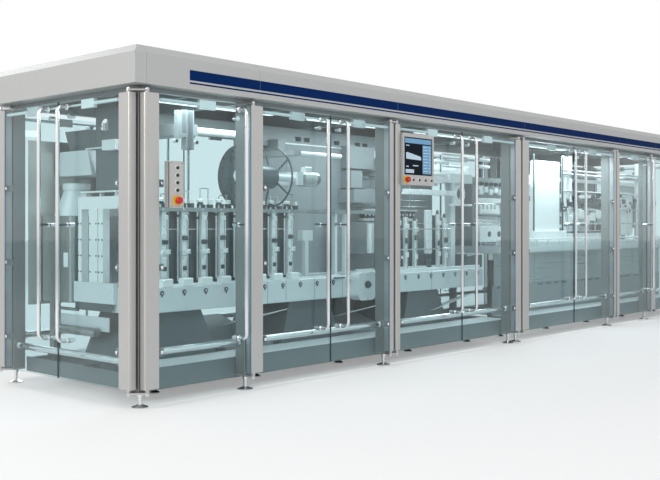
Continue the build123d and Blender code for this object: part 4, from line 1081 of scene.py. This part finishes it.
@detail("bright_plate")
def portal_posts(bm):
    for s in (5880, 6060, 6990, 7130, 8080, 8340, 9120, 9420):
        slab(bm, (s, s + 44), (640, 690), (ON_TABLE, 2080), 3)
    beams = ((1180, 5760, 7200), (1330, 6960, 8440), (1560, 6960, 8440), (1760, 5800, 9500))
    for z, first, last in beams:
        slab(bm, (first, last), (689, 712), (z, z + 46), 3)
    for k in range(9):
        s = 7010 + 160 * k
        slab(bm, (s, s + 96), (600, 692), (1240 + 34 * (k % 3), 1340 + 34 * (k % 3)), 4)
    slab(bm, (6180, 8440), (600, 640), (990, 1150), 4)
    turned(bm, (6082, 640, 1743), FRONT, [(0, 0), (60, 0), (60, 14), (52, 22), (0, 22)], 32)
    slab(bm, (9080, 9520), (600, 641), (1100, 1600), 4)


@detail("wall")
def portal_plate(bm):
    slab(bm, (8450, 9500), (692, 702), (1180, 1806), 3)


@detail("dark")
def portal_parts(bm):
    slab(bm, (5990, 6056), (712, TOWER_FACE), (990, 1960), 4)
    head = [(0, 0), (42, 0), (42, 20), (34, 26), (18, 26), (18, 60), (0, 60)]
    for k in range(16):
        s = 6930 + 150 * k
        low = 1390 + 60 * (k % 3)
        turned(bm, (s, 690, 1480 + 45 * (k % 4)), FRONT, head)
        slab(bm, (s + 50, s + 110), (620, 690), (low, low + 60), 4)
    slab(bm, (6960, 8440), (592, 600), (1120, 1142), 1)
    for s in (6200, 6900):
        slab(bm, (s - 14, s), (612, 628), (990, 2060), 1)


@detail("polish")
def portal_rods(bm):
    for z, t in ((1240, 592), (1420, 632), (1640, 632), (1850, 632), (1900, 632)):
        rod(bm, (6920, t, z), (9500, t, z), 11 if z != 1850 else 20)
    for k in range(10):
        s = 6990 + 250 * k
        rod(bm, (s, 606, 990), (s, 606, 1420 + 60 * (k % 3)), 9)


@detail("bright_plate")
def tower_details(bm):
    for first, last, top in TOWER_SPANS:
        slab(bm, (first + 70, last - 70), (752, TOWER_FACE), (1120, top - 260), 3)
        slab(bm, (first + 90, first + 210), (744, TOWER_FACE), (top - 190, top - 90), 3)
        rod(bm, (last - 90, 745, 1200), (last - 90, 745, 1380), 8)


# First tower's front: plates, rollers and a post with two short rollers
@detail("bright_plate")
def tower_plates(bm):
    slab(bm, (5206, 5700), (730, TOWER_FACE), (1029, 1201), 4)
    slab(bm, (5189, 5600), (720, TOWER_FACE), (1343, 1395), 3)
    slab(bm, (5160, 5690), (740, TOWER_FACE), (1470, 1520), 3)
    slab(bm, (5085, 5300), (513, 545), (838, 910), 3)
    for k in range(5):
        slab(bm, (5200 + 80 * k, 5252 + 80 * k), (722, 744), (1395, 1440 + 18 * (k % 2)), 4)
        low = 1560 + 22 * (k % 2)
        slab(bm, (5180 + 104 * k, 5250 + 104 * k), (716, TOWER_FACE), (low, low + 60), 4)
    for z in (1868, 1948):
        rod(bm, (5189, 750, z), (5411, 750, z), 24, 20)


@detail("dark")
def tower_parts(bm):
    for s in (5400, 5600):
        turned(bm, (s, 730, 1118), FRONT, [(0, 0), (32, 0), (32, 4), (26, 6), (0, 6)], 28)
    slab(bm, (5140, 5700), (712, TOWER_FACE), (1316, 1328), 1)
    slab(bm, (5280, 5320), (762, 800), (1750, 1990), 3)
    plug = [(0, 0), (24, 0), (24, 16), (12, 16), (12, 40), (0, 40)]
    for k in range(6):
        turned(bm, (5170 + 100 * k, TOWER_FACE, 1680), FRONT, plug)


@detail("polish")
def tower_rods(bm):
    for z in (1240, 1280, 1455):
        rod(bm, (5110, 751, z), (5715, 751, z), 10)
    for k in range(5):
        rod(bm, (5240 + 105 * k, 745, 990), (5240 + 105 * k, 745, 1030), 12)
        screws_at(bm, [(5225 + 115 * k, 730, 1185), (5225 + 115 * k, 730, 1045)], FRONT, 6)


# Skirt and shelf behind the lower glass, which hide the base's feet as in the photo
SHELF_BOTTOM = 240.0
SKIRT_BOTTOM = 88.0


# The skirt is a dark sheet of painted shade under the machine
@detail("base")
def base_skirt_painted_shade(bm):
    for first, last in ((196, 4860), (5050, 9714)):
        slab(bm, (first, last), (186, 196), (SKIRT_BOTTOM, SHELF_BOTTOM), 1)
    slab(bm, (186, 195), (196, 1640), (SKIRT_BOTTOM, SHELF_BOTTOM - 40), 1)
    for t in (500, 900, 1560):
        slab(bm, (195, 351), (t, t + 40), (150, SHELF_BOTTOM - 40), 1)


@detail("plate")
def base_shelf(bm):
    sheets = ((196, 1900), (1904, 3300), (3304, 4860), (5050, 6700), (6704, 8300), (8304, 9714))
    for first, last in sheets:
        slab(bm, (first, last), (186, 474), (SHELF_BOTTOM + 0.5, SHELF_BOTTOM + 5), 1)
    slab(bm, (400, 410), (860, 1560), (424, 531), 2)
    slab(bm, (370, 1240), (1200, 1600), (ON_BASE, 216), 1)


@detail("bright_plate")
def under_trays(bm):
    trays = ((4012, 4700, 505, 380), (1300, 1900, 520, 462), (2700, 3400, 505, 440))
    for first, last, high, low in trays:
        ends = [(first, low), (last, high), (last, high + 6), (first, low + 6)]
        front = [bm.verts.new(spot(s, 480, z)) for s, z in ends]
        back = [bm.verts.new(spot(s, 700, z - 60)) for s, z in ends]
        bm.faces.new(front)
        bm.faces.new(back[::-1])
        for k in range(4):
            bm.faces.new([front[k], back[k], back[(k + 1) % 4], front[(k + 1) % 4]])


@detail("jaw")
def base_brackets(bm):
    for first in (420, 1700, 3000, 4300, 5200, 6500, 7800, 9100):
        slab(bm, (first, first + 60), (196, 475), (186, SHELF_BOTTOM), 2)


# Bowed sheet behind the infeed cabinet
@detail("duct")
def infeed_back_sheet(bm):
    steps = 24
    rows = []
    for k in range(steps + 1):
        along = 200 + 960 * k / steps
        front = 1634 - 24 * math.sin(math.pi * k / steps)
        section = ((front, 600), (front, 1880), (1640, 1880), (1640, 600))
        rows.append([bm.verts.new(spot(along, t, z)) for t, z in section])
    for first, second in zip(rows, rows[1:]):
        for k in range(4):
            bm.faces.new([first[k], first[(k + 1) % 4], second[(k + 1) % 4], second[k]])
    bm.faces.new(rows[0])
    bm.faces.new(rows[-1][::-1])


# Back wall of the outfeed module, in panels on its own frame
@detail("wall")
def outfeed_back_panels(bm):
    slab(bm, (7050, 9540), (1548, 1568), (ON_BASE, 2070), 3)
    for k in range(4):
        first = 7060 + 622 * k
        for face in ((1536, 1548), (1568, 1580)):
            slab(bm, (first, first + 612), face, (300, 1180), 3)
            slab(bm, (first, first + 612), face, (1190, 2060), 3)


LAMP_STARTS = (480, 2060, 3560, 5300, 6900, 8300)


@detail("lamp")
def roof_lamps(bm):
    for first in LAMP_STARTS:
        slab(bm, (first, first + 1150), (330, 420), (2098, 2115), 4)


@detail("header")
def roof_lamp_brackets(bm):
    for first in LAMP_STARTS:
        for s in (first + 60, first + 1060):
            slab(bm, (s, s + 30), (159.5, 410), (2114.5, 2122), 1)


# Stage
FLOOR_HALF = 60.0
FLOOR_LIFT = 0.3
floor_mesh = bpy.data.meshes.new("floor")
corners = [(x * FLOOR_HALF, y * FLOOR_HALF, 0) for x, y in ((-1, -1), (1, -1), (1, 1), (-1, 1))]
floor_mesh.from_pydata(corners, [], [(0, 1, 2, 3)])
floor = bpy.data.objects.new("floor", floor_mesh)
bpy.context.scene.collection.objects.link(floor)
floor_mat, tree, shader = new_material("floor_paint")
shader.inputs["Base Color"].default_value = (0.93, 0.93, 0.93, 1)
shader.inputs["Roughness"].default_value = 0.75
lit = tree.nodes.new("ShaderNodeEmission")
lift = tree.nodes.new("ShaderNodeMixShader")
floor_rays = tree.nodes.new("ShaderNodeLightPath")
share = ramp(tree, floor_rays.outputs["Is Camera Ray"], 0.0, FLOOR_LIFT, 0.0, 1.0)
tree.links.new(share, lift.inputs[0])
tree.links.new(shader.outputs[0], lift.inputs[1])
tree.links.new(lit.outputs[0], lift.inputs[2])
tree.links.new(lift.outputs[0], tree.nodes["Material Output"].inputs["Surface"])
floor_mesh.materials.append(floor_mat)

world = bpy.data.worlds.new("studio")
bpy.context.scene.world = world
world.use_nodes = True
tree = world.node_tree
tree.nodes.clear()
out = tree.nodes.new("ShaderNodeOutputWorld")
mix = tree.nodes.new("ShaderNodeMixShader")
soft = tree.nodes.new("ShaderNodeBackground")
soft.inputs["Color"].default_value = (0.95, 0.98, 1.0, 1)
soft.inputs["Strength"].default_value = 0.56
seen = tree.nodes.new("ShaderNodeBackground")
seen.inputs["Color"].default_value = (1, 1, 1, 1)
seen.inputs["Strength"].default_value = 1.0
rays = tree.nodes.new("ShaderNodeLightPath")
either = tree.nodes.new("ShaderNodeMath")
either.operation = "MAXIMUM"
shown = tree.nodes.new("ShaderNodeMath")
shown.operation = "MAXIMUM"
tree.links.new(rays.outputs["Is Camera Ray"], either.inputs[0])
tree.links.new(rays.outputs["Is Glossy Ray"], either.inputs[1])
tree.links.new(either.outputs[0], shown.inputs[0])
tree.links.new(rays.outputs["Is Transmission Ray"], shown.inputs[1])
tree.links.new(shown.outputs[0], mix.inputs[0])
tree.links.new(soft.outputs[0], mix.inputs[1])
tree.links.new(seen.outputs[0], mix.inputs[2])
tree.links.new(mix.outputs[0], out.inputs["Surface"])


def area(name, where, aim, size, power, color=(1, 1, 1)):
    light = bpy.data.lights.new(name, "AREA")
    light.shape = "RECTANGLE"
    light.size, light.size_y = size
    light.energy = power
    light.color = color
    obj = bpy.data.objects.new(name, light)
    obj.location = where
    obj.rotation_euler = (Vector(aim) - Vector(where)).to_track_quat("-Z", "Y").to_euler()
    bpy.context.scene.collection.objects.link(obj)
    return obj


area("key", (-7, -9, 8), (0, 0, 1), (8, 5), 410)
area("side", (-14, 1, 5), (-4, 0, 1), (6, 4), 420, (1.0, 0.95, 0.91))
area("back", (0, 9, 7), (0, 0, 1), (14, 4), 330, (0.95, 0.98, 1.0))

# Roof lamps light the machine from above
for s, power in ((1200, 13), (3300, 14), (6500, 24), (8300, 9)):
    where, aim = spot(s, 500, 2085), spot(s, 640, 900)
    inner = area("inner", where, aim, (1.7, 0.35), power, (0.93, 0.98, 1.0))
    inner.visible_camera = False

# Camera
FOCAL_PX = 954.0
HORIZON_RISE_PX = 15.0
IMAGE_WIDE_PX = 660
camera_data = bpy.data.cameras.new("camera")
camera_data.sensor_width = 36.0
camera_data.lens = FOCAL_PX / IMAGE_WIDE_PX * camera_data.sensor_width
camera_data.shift_y = -HORIZON_RISE_PX / IMAGE_WIDE_PX
camera_data.clip_end = 200
camera = bpy.data.objects.new("camera", camera_data)
camera.location = (-8.739, -5.972, 1.220)
camera.rotation_euler = Vector((0.7466, 0.6652, 0)).to_track_quat("-Z", "Y").to_euler()
bpy.context.scene.collection.objects.link(camera)
bpy.context.scene.camera = camera
bpy.context.scene.view_settings.view_transform = "Standard"
